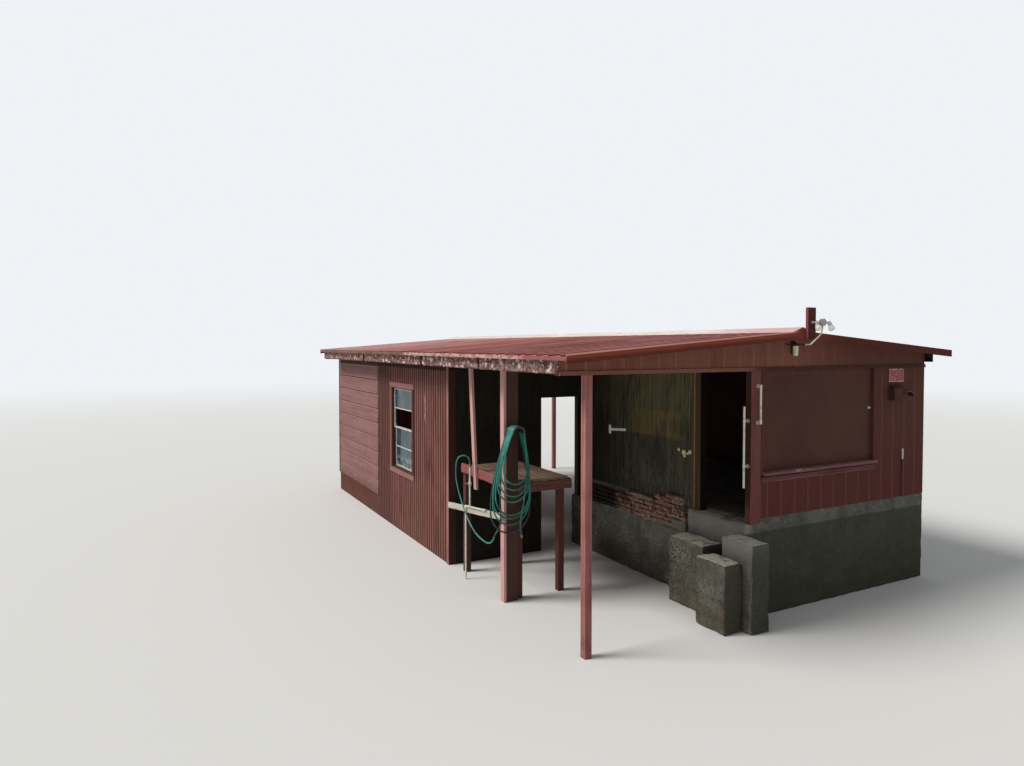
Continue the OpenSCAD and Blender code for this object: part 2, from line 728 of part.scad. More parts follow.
bench_x0 = board_t;
bench_y0 = built_post_y;
bench_y1 = bay_l - bench_gap;
bench_back_y = built_post_y + built_post_d;
bench_under = bench_z - board_t;

// Boards on the bench's frame, notched round the built-up post, with aprons on three sides
module workbench() on_plan() color(timber_red) {
    translate([0, 0, bench_under]) linear_extrude(board_t)
        polygon([[bench_x0, bench_back_y], [built_post_w, bench_back_y], [built_post_w, bench_y0],
            [bench_x1, bench_y0], [bench_x1, bench_y1], [bench_x0, bench_y1]]);
    block([built_post_w, bench_y0, bench_under - apron_h], [bench_x1, bench_y0 + board_t, bench_under]);
    block([bench_x1 - board_t, bench_y0 + board_t, bench_under - apron_h], [bench_x1, bench_y1, bench_under]);
    block([bench_x0, bench_back_y, bench_z + bench_lip - apron_h],
        [bench_x0 + board_t, bench_y1, bench_z + bench_lip]);
}

module bench_legs() on_plan() color(timber_red) {
    right_x = bench_x1 - bench_overhang - post;
    front_y = bench_y0 + board_t;
    for (foot = [[built_post_w, front_y], [right_x, front_y], [right_x, bench_y1 - post],
        [bench_x0 + board_t, bench_y1 - post]])
        block([foot.x, foot.y, 0], [foot.x + post, foot.y + post, bench_under]);
}

rail_slope = rail_board_fall / (bay_l - built_post_y);
function rail_top(y) = rail_board_z - rail_slope * (y - built_post_y);

// A weathered rail between the built-up post and the ribbed wall
module rail_board() on_plan() color(grey_wood)
    along_x(-board_t, 0) polygon([for (p = [[built_post_y, 1], [built_post_y, 0], [bay_l, 0], [bay_l, 1]])
        [p.x, rail_top(p.x) - p.y * rail_board_h]]);

// A round bar between two points, with a joint a little larger than the bar at its start
module rod(from, to, d) {
    v = to - from;
    translate(from) {
        rotate([0, acos(v.z / norm(v)), atan2(v.y, v.x)]) cylinder(d = d, h = norm(v), $fn = 32);
        sphere(d = 1.2 * d, $fn = 32);
    }
}

pipe_x = -board_t - pipe_d / 2;
// Room that a clip takes round its pipe, and its height
clip_t = 3;
clip_h = 14;

// A tap valve round its riser, with its lever on the side away from the building
module valve() {
    body_d = 1.7 * pipe_d;
    body_h = 60;
    stem_l = 42;
    lever = [6, 80, 14];
    cylinder(d = body_d, h = body_h, $fn = 32);
    translate([0, 0, body_h / 2]) rotate([0, -90, 0]) cylinder(d = lever.z, h = stem_l, $fn = 24);
    translate([-stem_l, -lever.z / 2, body_h / 2 - lever.z / 2]) cube(lever);
}

// The supply pipe up to the rail and along it, the tap's riser, and the pipe on the gable wall
module water_pipes() on_plan() color("#d9d8d2") {
    supply_top = [pipe_x, supply_y, rail_top(supply_y)];
    run_end = [pipe_x, pipe_run_y, rail_top(pipe_run_y)];
    translate([pipe_x, supply_y, 0]) cylinder(d = pipe_d, h = supply_top.z, $fn = 32);
    rod(supply_top, run_end, pipe_d);
    translate(run_end) sphere(d = 1.2 * pipe_d, $fn = 32);
    translate([pipe_x, riser_y, rail_top(riser_y)])
        cylinder(d = pipe_d, h = riser_z - rail_top(riser_y), $fn = 32);
    translate([pipe_x, riser_y, valve_z]) valve();
    for (y = [run_end.y + 2 * pipe_d, riser_y - 3 * pipe_d])
        block([pipe_x - pipe_d / 2 - clip_t, y, rail_top(y) - pipe_d],
            [pipe_x + pipe_d / 2, y + clip_h, rail_top(y) + pipe_d / 2 + clip_t]);
    wall_pipe_x = right_panel_x + 65;
    translate([wall_pipe_x, -wall_pipe_d / 2, siding_z])
        cylinder(d = wall_pipe_d, h = wall_pipe_top - siding_z, $fn = 32);
    for (z = [siding_z + wall_pipe_top / 20, wall_pipe_top - wall_pipe_top / 10])
        block([wall_pipe_x - wall_pipe_d, -wall_pipe_d - clip_t, z],
            [wall_pipe_x + wall_pipe_d, 0, z + clip_h]);
}

peak_post_x = ridge_x + peak_post_gap;

// A plank that stands up against the rake trim
module peak_post() on_plan() color(timber_red)
    block([peak_post_x, -over_front - board_t, ridge_z - rake_h],
        [peak_post_x + peak_post_w, -over_front, ridge_z - rake_h + peak_post_h]);

// A floodlight on its pivot, along +Z: the holder, the widening body and the lens
module floodlight() rotate_extrude($fn = 48)
    polygon([[0, -12], [24, -12], [24, 42], [17, 46], [30, 66], [lens_r - 3, flood_l - 20],
        [lens_r, flood_l - 12], [lens_r, flood_l], [lens_r - 14, flood_l + 8], [0, flood_l + 10]]);

// Two floodlights on a bar that a bracket holds off the plank, with their box and conduit
module floodlights() {
    first_head = 50;
    bar_inset = 60;
    bar = [peak_post_x + bar_inset, -lamp_bar_y, ridge_z + lamp_bar_rise];
    bar_d = 22;
    translate(bar) rotate([0, 90, 0]) cylinder(d = bar_d, h = lamp_bar_l, $fn = 32);
    block([bar.x, bar.y, bar.z - bar_d / 2], [bar.x + bar_d, bar.y + flood_gap, bar.z + bar_d / 2]);
    for (dx = [first_head, lamp_bar_l])
        translate(bar + [dx, 0, 0]) rotate([90 + flood_tilt, 0, -flood_turn]) floodlight();
    box_x = (first_head + lamp_bar_l) / 2;
    translate(bar + [box_x, bar_d, 0]) rotate([90, 0, 0])
        cylinder(d = lamp_box_d, h = 2 * bar_d, $fn = 48);
    // The conduit comes down in front of the plank and turns in under the roof
    knee = [peak_post_x + 2 * conduit_d, 0, ridge_z - rake_h - 3 * conduit_d];
    inner_knee = knee + [0, bar.y + 2 * conduit_d, -conduit_d];
    route = [bar + [box_x, 0, -lamp_box_d / 3],
        bar + [box_x - 2 * conduit_d, -conduit_d / 3, -lamp_box_d - lamp_bar_rise / 3],
        knee + [0, bar.y, 0], inner_knee, [inner_knee.x, 0, inner_knee.z]];
    for (i = [0:1:len(route) - 2]) rod(route[i], route[i + 1], conduit_d);
}

// A jar lamp under its canopy, on an arm from its wall plate
module jar_lamp() {
    plate_t = 8;
    arm = [28, 48, 18];
    canopy_h = 34;
    jar_z = ridge_z - 182;
    translate([ridge_x + jar_gap, -arm.y, jar_z]) {
        translate([0, 0, -jar_h]) cylinder(d1 = canopy_d - 20, d2 = canopy_d - 8, h = jar_h, $fn = 48);
        cylinder(d = canopy_d, h = canopy_h, $fn = 48);
        translate([-arm.x / 2, 0, canopy_h]) cube(arm);
        translate([-canopy_d / 2, arm.y - plate_t, -canopy_h]) cube([canopy_d, plate_t, 4 * canopy_h]);
    }
}

module lamps() on_plan() color("#e9e7e0") {
    floodlights();
    jar_lamp();
}

// The bare board on the gable wall, the box with a sloping lid under it, and an arched hood
module sign_and_box() on_plan() {
    sign_t = 12;
    sign_x0 = right_panel_x - 100 - sign_w / 2;
    lid_fall = 40;
    hood_x = sign_x0 + box_w + 8;
    hood_w = 230;
    hood_h = 80;
    hood_t = 8;
    hood_z = box_z + 50;
    hood_r = (hood_h * hood_h + hood_w * hood_w / 4) / (2 * hood_h);
    color("#8c1f28") block([sign_x0, -sign_t, sign_z], [sign_x0 + sign_w, 0, sign_z + sign_h]);
    color("#4f1f22") {
        along_x(sign_x0, sign_x0 + box_w) polygon([[0, box_z], [-box_d, box_z],
            [-box_d, box_z + box_h - lid_fall], [0, box_z + box_h]]);
        along_y(-box_d, 0) difference() {
            translate([hood_x + hood_w / 2, hood_z + hood_h - hood_r]) circle(r = hood_r, $fn = 64);
            translate([hood_x + hood_w / 2, hood_z + hood_h - hood_r]) circle(r = hood_r - hood_t, $fn = 64);
            translate([hood_x - hood_r, hood_z - 3 * hood_r]) square([4 * hood_r, 3 * hood_r]);
        }
    }
}

// One long handrail in the doorway and a short one on the pilaster's face
module handrails() on_plan() color("#d6cfc6") {
    door_x = bay_w - door_rail_gap;
    door_rail_y = post / 2 + 5;
    translate([door_x, door_rail_y, door_rail_z]) cylinder(d = rail_d, h = door_rail_l, $fn = 48);
    for (z = [door_rail_z + 277, door_rail_z + door_rail_l - 185])
        translate([door_x, door_rail_y, z]) rotate([0, 90, 0])
            cylinder(d = bracket_d, h = door_rail_gap, $fn = 32);
    face_x = bay_w + face_rail_x;
    translate([face_x, -face_rail_gap, face_rail_z]) cylinder(d = rail_d, h = face_rail_l, $fn = 48);
    for (z = [face_rail_z + bracket_d, face_rail_z + face_rail_l - bracket_d])
        translate([face_x, -face_rail_gap, z]) rotate([-90, 0, 0])
            cylinder(d = bracket_d, h = face_rail_gap, $fn = 32);
}

// The sheet metal hanger keeps its plate behind the hose and a lip in front of it
hanger_t = 4;
hanger_plate_t = 5;
hose_y1 = built_post_y - hanger_plate_t - 6;
hose_y0 = hose_y1 - hose_turns * hose_d;
hanger_y0 = hose_y0 - 7;

// Upper half of a disc about the hanger's middle
module half_disc(r) intersection() {
    translate([hanger_x, hanger_z]) circle(r = r, $fn = 64);
    translate([hanger_x - 2 * saddle_r, hanger_z]) square(4 * saddle_r);
}

module hose_hanger() on_plan() color("#6e6a64") {
    along_y(hanger_y0, built_post_y) difference() {
        half_disc(saddle_r);
        half_disc(saddle_r - hanger_t);
    }
    along_y(built_post_y - hanger_plate_t, built_post_y) {
        half_disc(saddle_r);
        translate([hanger_x - 45, hanger_z - 70]) square([90, 70 + past]);
    }
    along_y(hanger_y0 - hanger_t, hanger_y0) difference() {
        half_disc(saddle_r + hose_d - 2);
        half_disc(saddle_r - hanger_t);
    }
}

// Outline in X and Z of the hung turns: a round over the saddle, sides that spread, a round bottom
coil_x = 83;
arch_r = saddle_r + hose_d;
arch_end = 16;
arch_foot = [arch_r * cos(arch_end), arch_r * sin(arch_end)];
coil_mid_z = coil_z + coil_rz;
coil_half = coil_rx + hose_d / 2;
function coil_low(k) = [coil_x + coil_half * cos(k), coil_mid_z + coil_rz * sin(k)];
function coil_side(side, s) = [
    hanger_x + side * arch_foot.x + (coil_x - hanger_x + side * (coil_half - arch_foot.x)) * sin(90 * s),
    hanger_z + arch_foot.y + (coil_mid_z - hanger_z - arch_foot.y) * s];
coil_outline = concat(
    [for (k = [180:10:360]) coil_low(k)],
    [for (i = [5:-1:1]) coil_side(1, i / 6)],
    [for (i = [0:8]) let (k = arch_end + i * (180 - 2 * arch_end) / 8)
        [hanger_x + arch_r * cos(k), hanger_z + arch_r * sin(k)]],
    [for (i = [1:5]) coil_side(-1, i / 6)]);

module hose_coil() on_plan() color("#1f6a5c") along_y(hose_y0, hose_y1) difference() {
    polygon(coil_outline);
    translate([hanger_x, hanger_z]) circle(r = saddle_r, $fn = 64);
}

// The hose enters its turns square to one short side of that outline, and leaves them at another
function coil_gate(k) = (coil_low(k) + coil_low(k + 10)) / 2;
function coil_way(k) = let (e = coil_low(k + 10) - coil_low(k)) [e.y, -e.x] / norm(e);
gate_in = coil_gate(230);
way_in = -coil_way(230);
gate_out = coil_gate(280);
way_out = coil_way(280);
coupling_l = 45;

// Route of the hose from the tap down to its coil, in millimetres
hose_points = [[pipe_x, riser_y, riser_z + coupling_l],
    [-52, 2930, 1775], [-75, 2942, 1835], [-130, 2968, 1862], [-190, 2998, 1840], [-222, 3018, 1775],
    [-225, 3040, 1650], [-215, 3045, 1500], [-205, 2990, 1350], [-200, 2880, 1200], [-200, 2740, 1060],
    [-198, 2580, 940], [-190, 2410, 850], [-175, 2240, 805], [-168, 2090, 800], [-155, 1985, 850],
    [-132, 1938, 950],
    [gate_in.x, hose_y1 - hose_d / 2, gate_in.y]];

// A smooth line through points, with some steps between two of them
function smooth(p, steps) = concat([for (i = [0:1:len(p) - 2]) for (j = [0:1:steps - 1])
    let (t = j / steps, a = p[max(i - 1, 0)], b = p[i], c = p[i + 1], d = p[min(i + 2, len(p) - 1)])
    (2 * b + (c - a) * t + (2 * a - 5 * b + 4 * c - d) * t * t + (3 * b - a - 3 * c + d) * t * t * t) / 2],
    [p[len(p) - 1]]);
function unit(v) = v / norm(v);
// A direction across the tube for each ring, turned as little as possible from ring to ring
function across(ways, last, i) = i == len(ways) ? [] :
    let (v = unit(last - (last * ways[i]) * ways[i])) concat([v], across(ways, v, i + 1));

module hose_run() on_plan() color("#1f6a5c") {
    sides = 10;
    p = smooth(hose_points, 3);
    n = len(p);
    ways = [for (i = [0:1:n - 1]) i == 0 ? [0, 0, 1] : i == n - 1 ? [way_in.x, 0, way_in.y]
        : unit(p[i + 1] - p[i - 1])];
    us = across(ways, [0, 1, 0], 0);
    rings = [for (i = [0:1:n - 1]) for (j = [0:1:sides - 1])
        p[i] + hose_d / 2 * (cos(360 * j / sides) * us[i] + sin(360 * j / sides) * cross(ways[i], us[i]))];
    polyhedron(rings, concat(
        [[for (j = [0:1:sides - 1]) j]],
        [for (i = [0:1:n - 2]) for (j = [0:1:sides - 1]) let (k = (j + 1) % sides)
            [i * sides + j, (i + 1) * sides + j, (i + 1) * sides + k, i * sides + k]],
        [[for (j = [sides - 1:-1:0]) (n - 1) * sides + j]]));
}

// The coupling at the tap and the one at the free end
module hose_ends() on_plan() color("#a8874a") {
    translate([pipe_x, riser_y, riser_z]) cylinder(d = pipe_d + 5, h = coupling_l, $fn = 32);
    translate([gate_out.x, hose_y0 + hose_d / 2, gate_out.y])
        rotate([0, atan2(way_out.x, way_out.y), 0]) cylinder(d = hose_d + 8, h = coupling_l, $fn = 32);
}

foundation();
room_floor();
right_wall_base();
brick_course();
step_blocks();
posts();
pilaster();
gable_headers();
front_wall_low();
front_wall_right();
shutter_frame();
shutter_panel();
sill_boards();
partition_wall();
door_jambs();
bay_back_wall();
bay_back_header();
ribbed_wall_sides();
ribbed_wall_middle();
window_casing();
window_sashes();
window_glass();
lap_wall();
base_skirt();
trim_boards();
back_wall();
right_wall();
wall_plates();
rafters();
ridge_beam();
purlins();
roof_sheets_left();
roof_sheets_right();
ridge_cap();
rake_trims();
eave_trims();
fascia_boards();
workbench();
bench_legs();
rail_board();
water_pipes();
peak_post();
lamps();
sign_and_box();
handrails();
hose_hanger();
hose_coil();
hose_run();
hose_ends();
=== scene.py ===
import itertools
import math
import random
import bpy
from mathutils import Matrix, Vector
from mathutils.noise import noise


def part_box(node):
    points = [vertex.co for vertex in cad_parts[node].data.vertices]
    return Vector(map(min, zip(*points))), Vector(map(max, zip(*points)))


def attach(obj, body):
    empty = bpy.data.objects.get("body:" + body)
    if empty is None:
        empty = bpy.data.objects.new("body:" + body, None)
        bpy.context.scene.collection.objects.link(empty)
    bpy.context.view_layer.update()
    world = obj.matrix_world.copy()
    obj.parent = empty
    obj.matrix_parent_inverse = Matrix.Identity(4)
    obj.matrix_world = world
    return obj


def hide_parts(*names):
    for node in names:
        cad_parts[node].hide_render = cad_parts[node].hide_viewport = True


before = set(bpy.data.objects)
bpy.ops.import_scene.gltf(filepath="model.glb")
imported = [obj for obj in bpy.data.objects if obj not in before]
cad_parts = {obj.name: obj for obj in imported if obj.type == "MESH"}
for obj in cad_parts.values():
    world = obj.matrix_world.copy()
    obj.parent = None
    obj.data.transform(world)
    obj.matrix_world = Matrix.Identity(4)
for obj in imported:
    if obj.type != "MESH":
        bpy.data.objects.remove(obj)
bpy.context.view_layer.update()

# The boathouse is seen over its near left corner. It stands on a pale floor that fades into
# the backdrop, under soft light that comes from the left.
scene = bpy.context.scene
scene.view_settings.view_transform = "Standard"
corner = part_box("posts")[0]


def stand(name, data):
    """A new object in the scene."""
    made = bpy.data.objects.new(name, data)
    scene.collection.objects.link(made)
    return made


camera_data = bpy.data.cameras.new("camera")
camera_data.sensor_width = 36
camera_data.lens = 24.76
camera_data.shift_y = -0.0175
camera = stand("camera", camera_data)
camera.location = corner + Vector((-4.305, -6.399, 3.465))
camera.rotation_euler = (math.radians(88.41), 0, math.radians(-27.95))
scene.camera = camera

sun_data = bpy.data.lights.new("sun", "SUN")
sun_data.energy = 2.9
sun_data.angle = math.radians(24)
sun_data.color = (1.0, 0.97, 0.93)
sun_way = Vector((-0.66, 0.20, 0.72))
stand("sun", sun_data).rotation_euler = sun_way.to_track_quat("Z", "Y").to_euler()


def add_node(tree, kind, fed=(), **settings):
    """A shader node with its settings, and a plain value or a link for each socket that is fed."""
    node = tree.nodes.new("ShaderNode" + kind)
    for name, value in settings.items():
        setattr(node, name, value)
    for socket, value in dict(fed).items():
        if isinstance(value, bpy.types.NodeSocket):
            tree.links.new(value, node.inputs[socket])
        else:
            node.inputs[socket].default_value = value
    return node


def seen_directly(tree):
    """1 for what the camera, a gloss or a pane looks at, and 0 for light on the object."""
    rays = add_node(tree, "LightPath").outputs
    total = rays["Is Camera Ray"]
    for name in ("Is Glossy Ray", "Is Transmission Ray"):
        total = add_node(tree, "Math", {0: total, 1: rays[name]}, operation="ADD", use_clamp=True).outputs[0]
    return total


def show_mix(tree, output, mask, first, second):
    """The first shader where the mask is 0, and the second where it is 1."""
    mix = add_node(tree, "MixShader", {0: mask, 1: first.outputs[0], 2: second.outputs[0]})
    tree.links.new(mix.outputs[0], tree.nodes[output].inputs["Surface"])


BACKDROP = (0.86, 0.89, 0.92, 1)
world = bpy.data.worlds.new("backdrop")
world.use_nodes = True
scene.world = world
sky = world.node_tree
sky_light = sky.nodes["Background"]
sky_light.inputs["Color"].default_value = (0.93, 0.97, 1.0, 1)
sky_light.inputs["Strength"].default_value = 0.36
far_sky = add_node(sky, "Background", {"Color": BACKDROP})
show_mix(sky, "World Output", seen_directly(sky), sky_light, far_sky)

reach = 150.0
floor_mesh = bpy.data.meshes.new("floor")
floor_mesh.from_pydata([(-reach, -reach, 0), (reach, -reach, 0), (reach, reach, 0), (-reach, reach, 0)],
                       [], [(0, 1, 2, 3)])
stand("floor", floor_mesh)
floor_paint = bpy.data.materials.new("floor_paint")
floor_paint.use_nodes = True
floor_tree = floor_paint.node_tree
near_floor = floor_tree.nodes["Principled BSDF"]
near_floor.inputs["Base Color"].default_value = (0.70, 0.70, 0.68, 1)
near_floor.inputs["Roughness"].default_value = 0.9
floor_place = add_node(floor_tree, "TexCoord").outputs["Object"]
distance = add_node(floor_tree, "VectorMath", {0: floor_place}, operation="LENGTH").outputs["Value"]
fade = add_node(floor_tree, "MapRange", {"Value": distance, "From Min": 14, "From Max": 60},
                interpolation_type="SMOOTHSTEP").outputs["Result"]
far_floor = add_node(floor_tree, "Emission", {"Color": BACKDROP})
show_mix(floor_tree, "Material Output", fade, near_floor, far_floor)
floor_mesh.materials.append(floor_paint)


# A garden hose of teal rubber, screwed to the tap at the side of the bay. It swings out, drops
# to the foot of the built-up post and hangs there in long turns over a metal saddle.
def paint_shade(colour):
    """A colour written as it looks, from 0 to 255, as the renderer takes it."""
    shares = [value / 255 for value in colour]
    return (*(v / 12.92 if v <= 0.04045 else ((v + 0.055) / 1.055) ** 2.4 for v in shares), 1)


class Finish:
    """A finish in layers over its ground colour. A mask is a function that says where a layer lies."""

    def __init__(self, name, ground, roughness, metallic=0.0):
        self.material = bpy.data.materials.new(name)
        self.material.use_nodes = True
        self.tree = self.material.node_tree
        self.sockets = self.tree.nodes["Principled BSDF"].inputs
        self.colour = paint_shade(ground)
        self.sockets["Base Color"].default_value = self.colour
        self.sockets["Roughness"].default_value = roughness
        self.sockets["Metallic"].default_value = metallic
        if roughness > 0.7:
            self.sockets["Specular IOR Level"].default_value = 0.12
        self.place = self.add("TexCoord").outputs["Object"]

    def add(self, kind, fed=(), **settings):
        return add_node(self.tree, kind, fed, **settings)

    def math(self, operation, a, b):
        clamp = operation != "SUBTRACT"
        return self.add("Math", {0: a, 1: b}, operation=operation, use_clamp=clamp).outputs[0]

    def axis(self, name, vector=None):
        """One part of the place on the object, or of another vector."""
        return self.add("SeparateXYZ", {0: self.place if vector is None else vector}).outputs[name]

    def step(self, value, low, high):
        """0 before low, 1 past high and a smooth way between them. Low may be over high."""
        ends = (0.0, 1.0) if low < high else (1.0, 0.0)
        return self.add("MapRange", {"Value": value, "From Min": min(low, high), "From Max": max(low, high),
                                     "To Min": ends[0], "To Max": ends[1]},
                        interpolation_type="SMOOTHSTEP").outputs["Result"]

    def layers(self, *rows):
        """Lays colours over what is there: a colour, its strength and the masks that it needs."""
        for colour, strength, *masks in rows:
            for mask in masks:
                strength = self.math("MULTIPLY", mask(self), strength)
            mix = self.add("Mix", {0: strength, 6: self.colour, 7: paint_shade(colour)}, data_type="RGBA")
            self.colour = mix.outputs[2]
        self.tree.links.new(self.colour, self.sockets["Base Color"])
        return self

    def gloss(self, low, high, mask):
        """Roughness runs from low to high with the mask."""
        node = self.add("MapRange", {"Value": mask(self), "To Min": low, "To Max": high})
        self.tree.links.new(node.outputs["Result"], self.sockets["Roughness"])
        return self

    def relief(self, depth, size, low=0.3, high=0.7, seed=0.0):
        """Raises patches of a given size by a depth."""
        height = cloud(size, low, high, seed)(self)
        bump = self.add("Bump", {"Distance": depth, "Strength": 1.0, "Height": height})
        normal = self.sockets["Normal"]
        if normal.is_linked:
            self.tree.links.new(normal.links[0].from_socket, bump.inputs["Normal"])
        self.tree.links.new(bump.outputs["Normal"], normal)
        return self


def cloud(size, low=0.45, high=0.6, seed=0.0, detail=5.0):
    """Patches of a given size in metres, or of a size along each axis."""
    sizes = size if isinstance(size, tuple) else (size, size, size)

    def mask(finish):
        place = finish.add("Mapping", {"Vector": finish.place, "Location": (seed, 2 * seed, 3 * seed),
                                       "Scale": tuple(1 / s for s in sizes)}).outputs[0]
        texture = finish.add("TexNoise", {"Vector": place, "Scale": 1.0, "Detail": detail,
                                          "Roughness": 0.62})
        return finish.step(texture.outputs["Fac"], low, high)
    return mask


def along(axis, low, high):
    """Grows from 0 at low to 1 at high, along one axis of the plan."""
    start = corner["XYZ".index(axis)]
    return lambda finish: finish.step(finish.axis(axis), start + low, start + high)


def between(axis, low, high, blur):
    """1 from low to high along one axis of the plan, with soft ends."""
    rise, fall = along(axis, low - blur, low + blur), along(axis, high + blur, high - blur)
    return lambda finish: finish.math("MULTIPLY", rise(finish), fall(finish))


def facing(axis, low=0.3, high=0.7):
    """1 where the surface faces along an axis, such as up for Z."""
    return lambda finish: finish.step(
        finish.axis(axis, finish.add("NewGeometry").outputs["Normal"]), low, high)


def plan_box(node):
    """Corners of a node, measured from the near left corner of the walls."""
    low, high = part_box(node)
    return low - corner, high - corner


def through(points, steps):
    """A smooth line through points, with some steps between two of them."""
    line = []
    for i in range(len(points) - 1):
        a, b = points[max(i - 1, 0)], points[i]
        c, d = points[i + 1], points[min(i + 2, len(points) - 1)]
        for j in range(steps):
            t = j / steps
            line.append((2 * b + (c - a) * t + (2 * a - 5 * b + 4 * c - d) * t * t
                         + (3 * b - a - 3 * c + d) * t ** 3) / 2)
    return line + [points[-1]]


hose_d = 0.022
hanger_x, hanger_z = 0.120, 2.302
coil_x = 0.083
arch_r = 0.077 + hose_d / 2
arch_end = math.radians(16)
foot_x, foot_z = arch_r * math.cos(arch_end), hanger_z + arch_r * math.sin(arch_end)
first_turn_y = 1.932
hose_run = [Vector(p) for p in (
    (-0.0515, 2.930, 1.735),
    (-0.052, 2.930, 1.775), (-0.075, 2.942, 1.835), (-0.130, 2.968, 1.862), (-0.190, 2.998, 1.840),
    (-0.222, 3.018, 1.775), (-0.225, 3.040, 1.650), (-0.215, 3.045, 1.500), (-0.205, 2.990, 1.350),
    (-0.200, 2.880, 1.200), (-0.200, 2.740, 1.060), (-0.198, 2.580, 0.940), (-0.190, 2.410, 0.850),
    (-0.175, 2.240, 0.805), (-0.168, 2.090, 0.800), (-0.155, 1.985, 0.850), (-0.132, 1.938, 0.950),
    (-0.0947, 1.932, 1.000),
    (-0.062, 1.932, 1.075), (-0.055, 1.932, 1.220), (-0.062, 1.932, 1.450), (-0.050, 1.932, 1.750),
    (-0.012, 1.932, 2.050), (0.0354, 1.932, 2.326))]
# Half the width, the height of the underside and the rise of its bend, from the wall outwards
hose_turns = ((0.30, 0.95, 0.32), (0.275, 1.06, 0.30), (0.285, 1.15, 0.28), (0.26, 1.20, 0.28),
              (0.24, 1.38, 0.25), (0.225, 1.46, 0.24), (0.21, 1.55, 0.22), (0.185, 1.63, 0.20))
free_end = ((0.232, 2.05), (0.240, 1.75), (0.205, 1.42), (0.155, 1.16), (0.150, 1.03), (0.1632, 0.9515))


def over_saddle(turn):
    """The short way over the hanger, from the left foot of its arch to the right one."""
    for i in range(15):
        k = math.pi - arch_end - i / 14 * (math.pi - 2 * arch_end)
        yield Vector((hanger_x + arch_r * math.cos(k), first_turn_y - turn * hose_d,
                      hanger_z + arch_r * math.sin(k)))


def hanging_turn(turn, half, bottom, rise):
    """Down the right side, round the bottom and up the left side of one turn."""
    middle_z = bottom + rise

    def side(way):
        swing = coil_x - hanger_x + way * (half - foot_x)
        return [(hanger_x + way * foot_x + swing * math.sin(math.pi / 2 * s),
                 foot_z + (middle_z - foot_z) * s) for s in (i / 12 for i in range(1, 12))]

    bend = [(coil_x + half * math.cos(k), middle_z + rise * math.sin(k))
            for k in (-i / 20 * math.pi for i in range(21))]
    outline = side(1) + bend + side(-1)[::-1]
    for i, (x, z) in enumerate(outline):
        t = min(i / (len(outline) // 2), 1)
        yield Vector((x, first_turn_y - turn * hose_d - hose_d * t * t * (3 - 2 * t), z))


hose_line = through(hose_run, 6)[:-1]
for turn, shape in enumerate(hose_turns):
    hose_line += over_saddle(turn)
    hose_line += hanging_turn(turn, *shape)
last_y = first_turn_y - len(hose_turns) * hose_d
hose_line += over_saddle(len(hose_turns))
hose_line += through([hose_line[-1]] + [Vector((x, last_y, z)) for x, z in free_end], 6)[1:]
hose_length = sum((b - a).length for a, b in zip(hose_line, hose_line[1:]))

hose_curve = bpy.data.curves.new("garden_hose", "CURVE")
hose_curve.dimensions = "3D"
hose_curve.bevel_depth = hose_d / 2
hose_curve.bevel_resolution = 3
hose_curve.use_fill_caps = True
hose_spline = hose_curve.splines.new("POLY")
hose_spline.points.add(len(hose_line) - 1)
for knot, place in zip(hose_spline.points, hose_line):
    knot.co = (*(place + corner), 1)
hose_spline.use_smooth = True
hose = stand("garden_hose", hose_curve)
teal_rubber = Finish("teal_rubber", (22, 122, 108), 0.38).layers(
    ((8, 62, 58), 0.75, cloud(0.30, 0.44, 0.62)),
    # Painted highlights: small pale patches on the rubber.
    ((112, 180, 166), 0.4, cloud(0.05, 0.52, 0.7, 4)),
    ((14, 22, 24), 0.92, between("Y", 1.894, 1.95, 0.006)),
    ((16, 40, 40), 0.6, along("Z", 1.34, 1.10), along("Y", 1.95, 1.88)),
    ((120, 140, 128), 0.25, facing("Z"), cloud(0.03)),
).relief(0.0003, 0.004)
hose_curve.materials.append(teal_rubber.material)
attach(hose, "root")
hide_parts("hose_coil", "hose_run")


# Brass couplings close both ends of the hose: a knurled nut on a ferrule, screwed to the tap,
# and the same nut at the free end under the turns.
def eased_box(low, high, edge):
    """Vertices and faces of a box whose edges are planed off."""
    verts, faces, at = [], [], {}
    for signs in itertools.product((0, 1), repeat=3):
        for face in range(3):
            at[signs, face] = len(verts)
            verts.append([high[i] - (i != face) * edge if s else low[i] + (i != face) * edge
                          for i, s in enumerate(signs)])
    for a in range(3):
        b, c = (a + 1) % 3, (a + 2) % 3

        def on(sa, sb, sc, face, a=a, b=b, c=c):
            signs = [0, 0, 0]
            signs[a], signs[b], signs[c] = sa, sb, sc
            return at[tuple(signs), face]

        for side in (0, 1):
            ring = [on(side, sb, sc, a) for sb, sc in ((0, 0), (1, 0), (1, 1), (0, 1))]
            faces.append(ring if side else ring[::-1])
        for sb, sc in itertools.product((0, 1), repeat=2):
            quad = [on(0, sb, sc, b), on(1, sb, sc, b), on(1, sb, sc, c), on(0, sb, sc, c)]
            faces.append(quad if sb != sc else quad[::-1])
    for signs in itertools.product((0, 1), repeat=3):
        tip = [at[signs, face] for face in range(3)]
        faces.append(tip if sum(signs) % 2 else tip[::-1])
    return verts, faces


def circle(centre, axis, radius, sides, across=None):
    """Points round a centre, square to a unit axis."""
    if across is None:
        across = axis.orthogonal().normalized()
    other = axis.cross(across)
    return [centre + radius * (math.cos(k) * across + math.sin(k) * other)
            for k in (math.tau * j / sides for j in range(sides))]


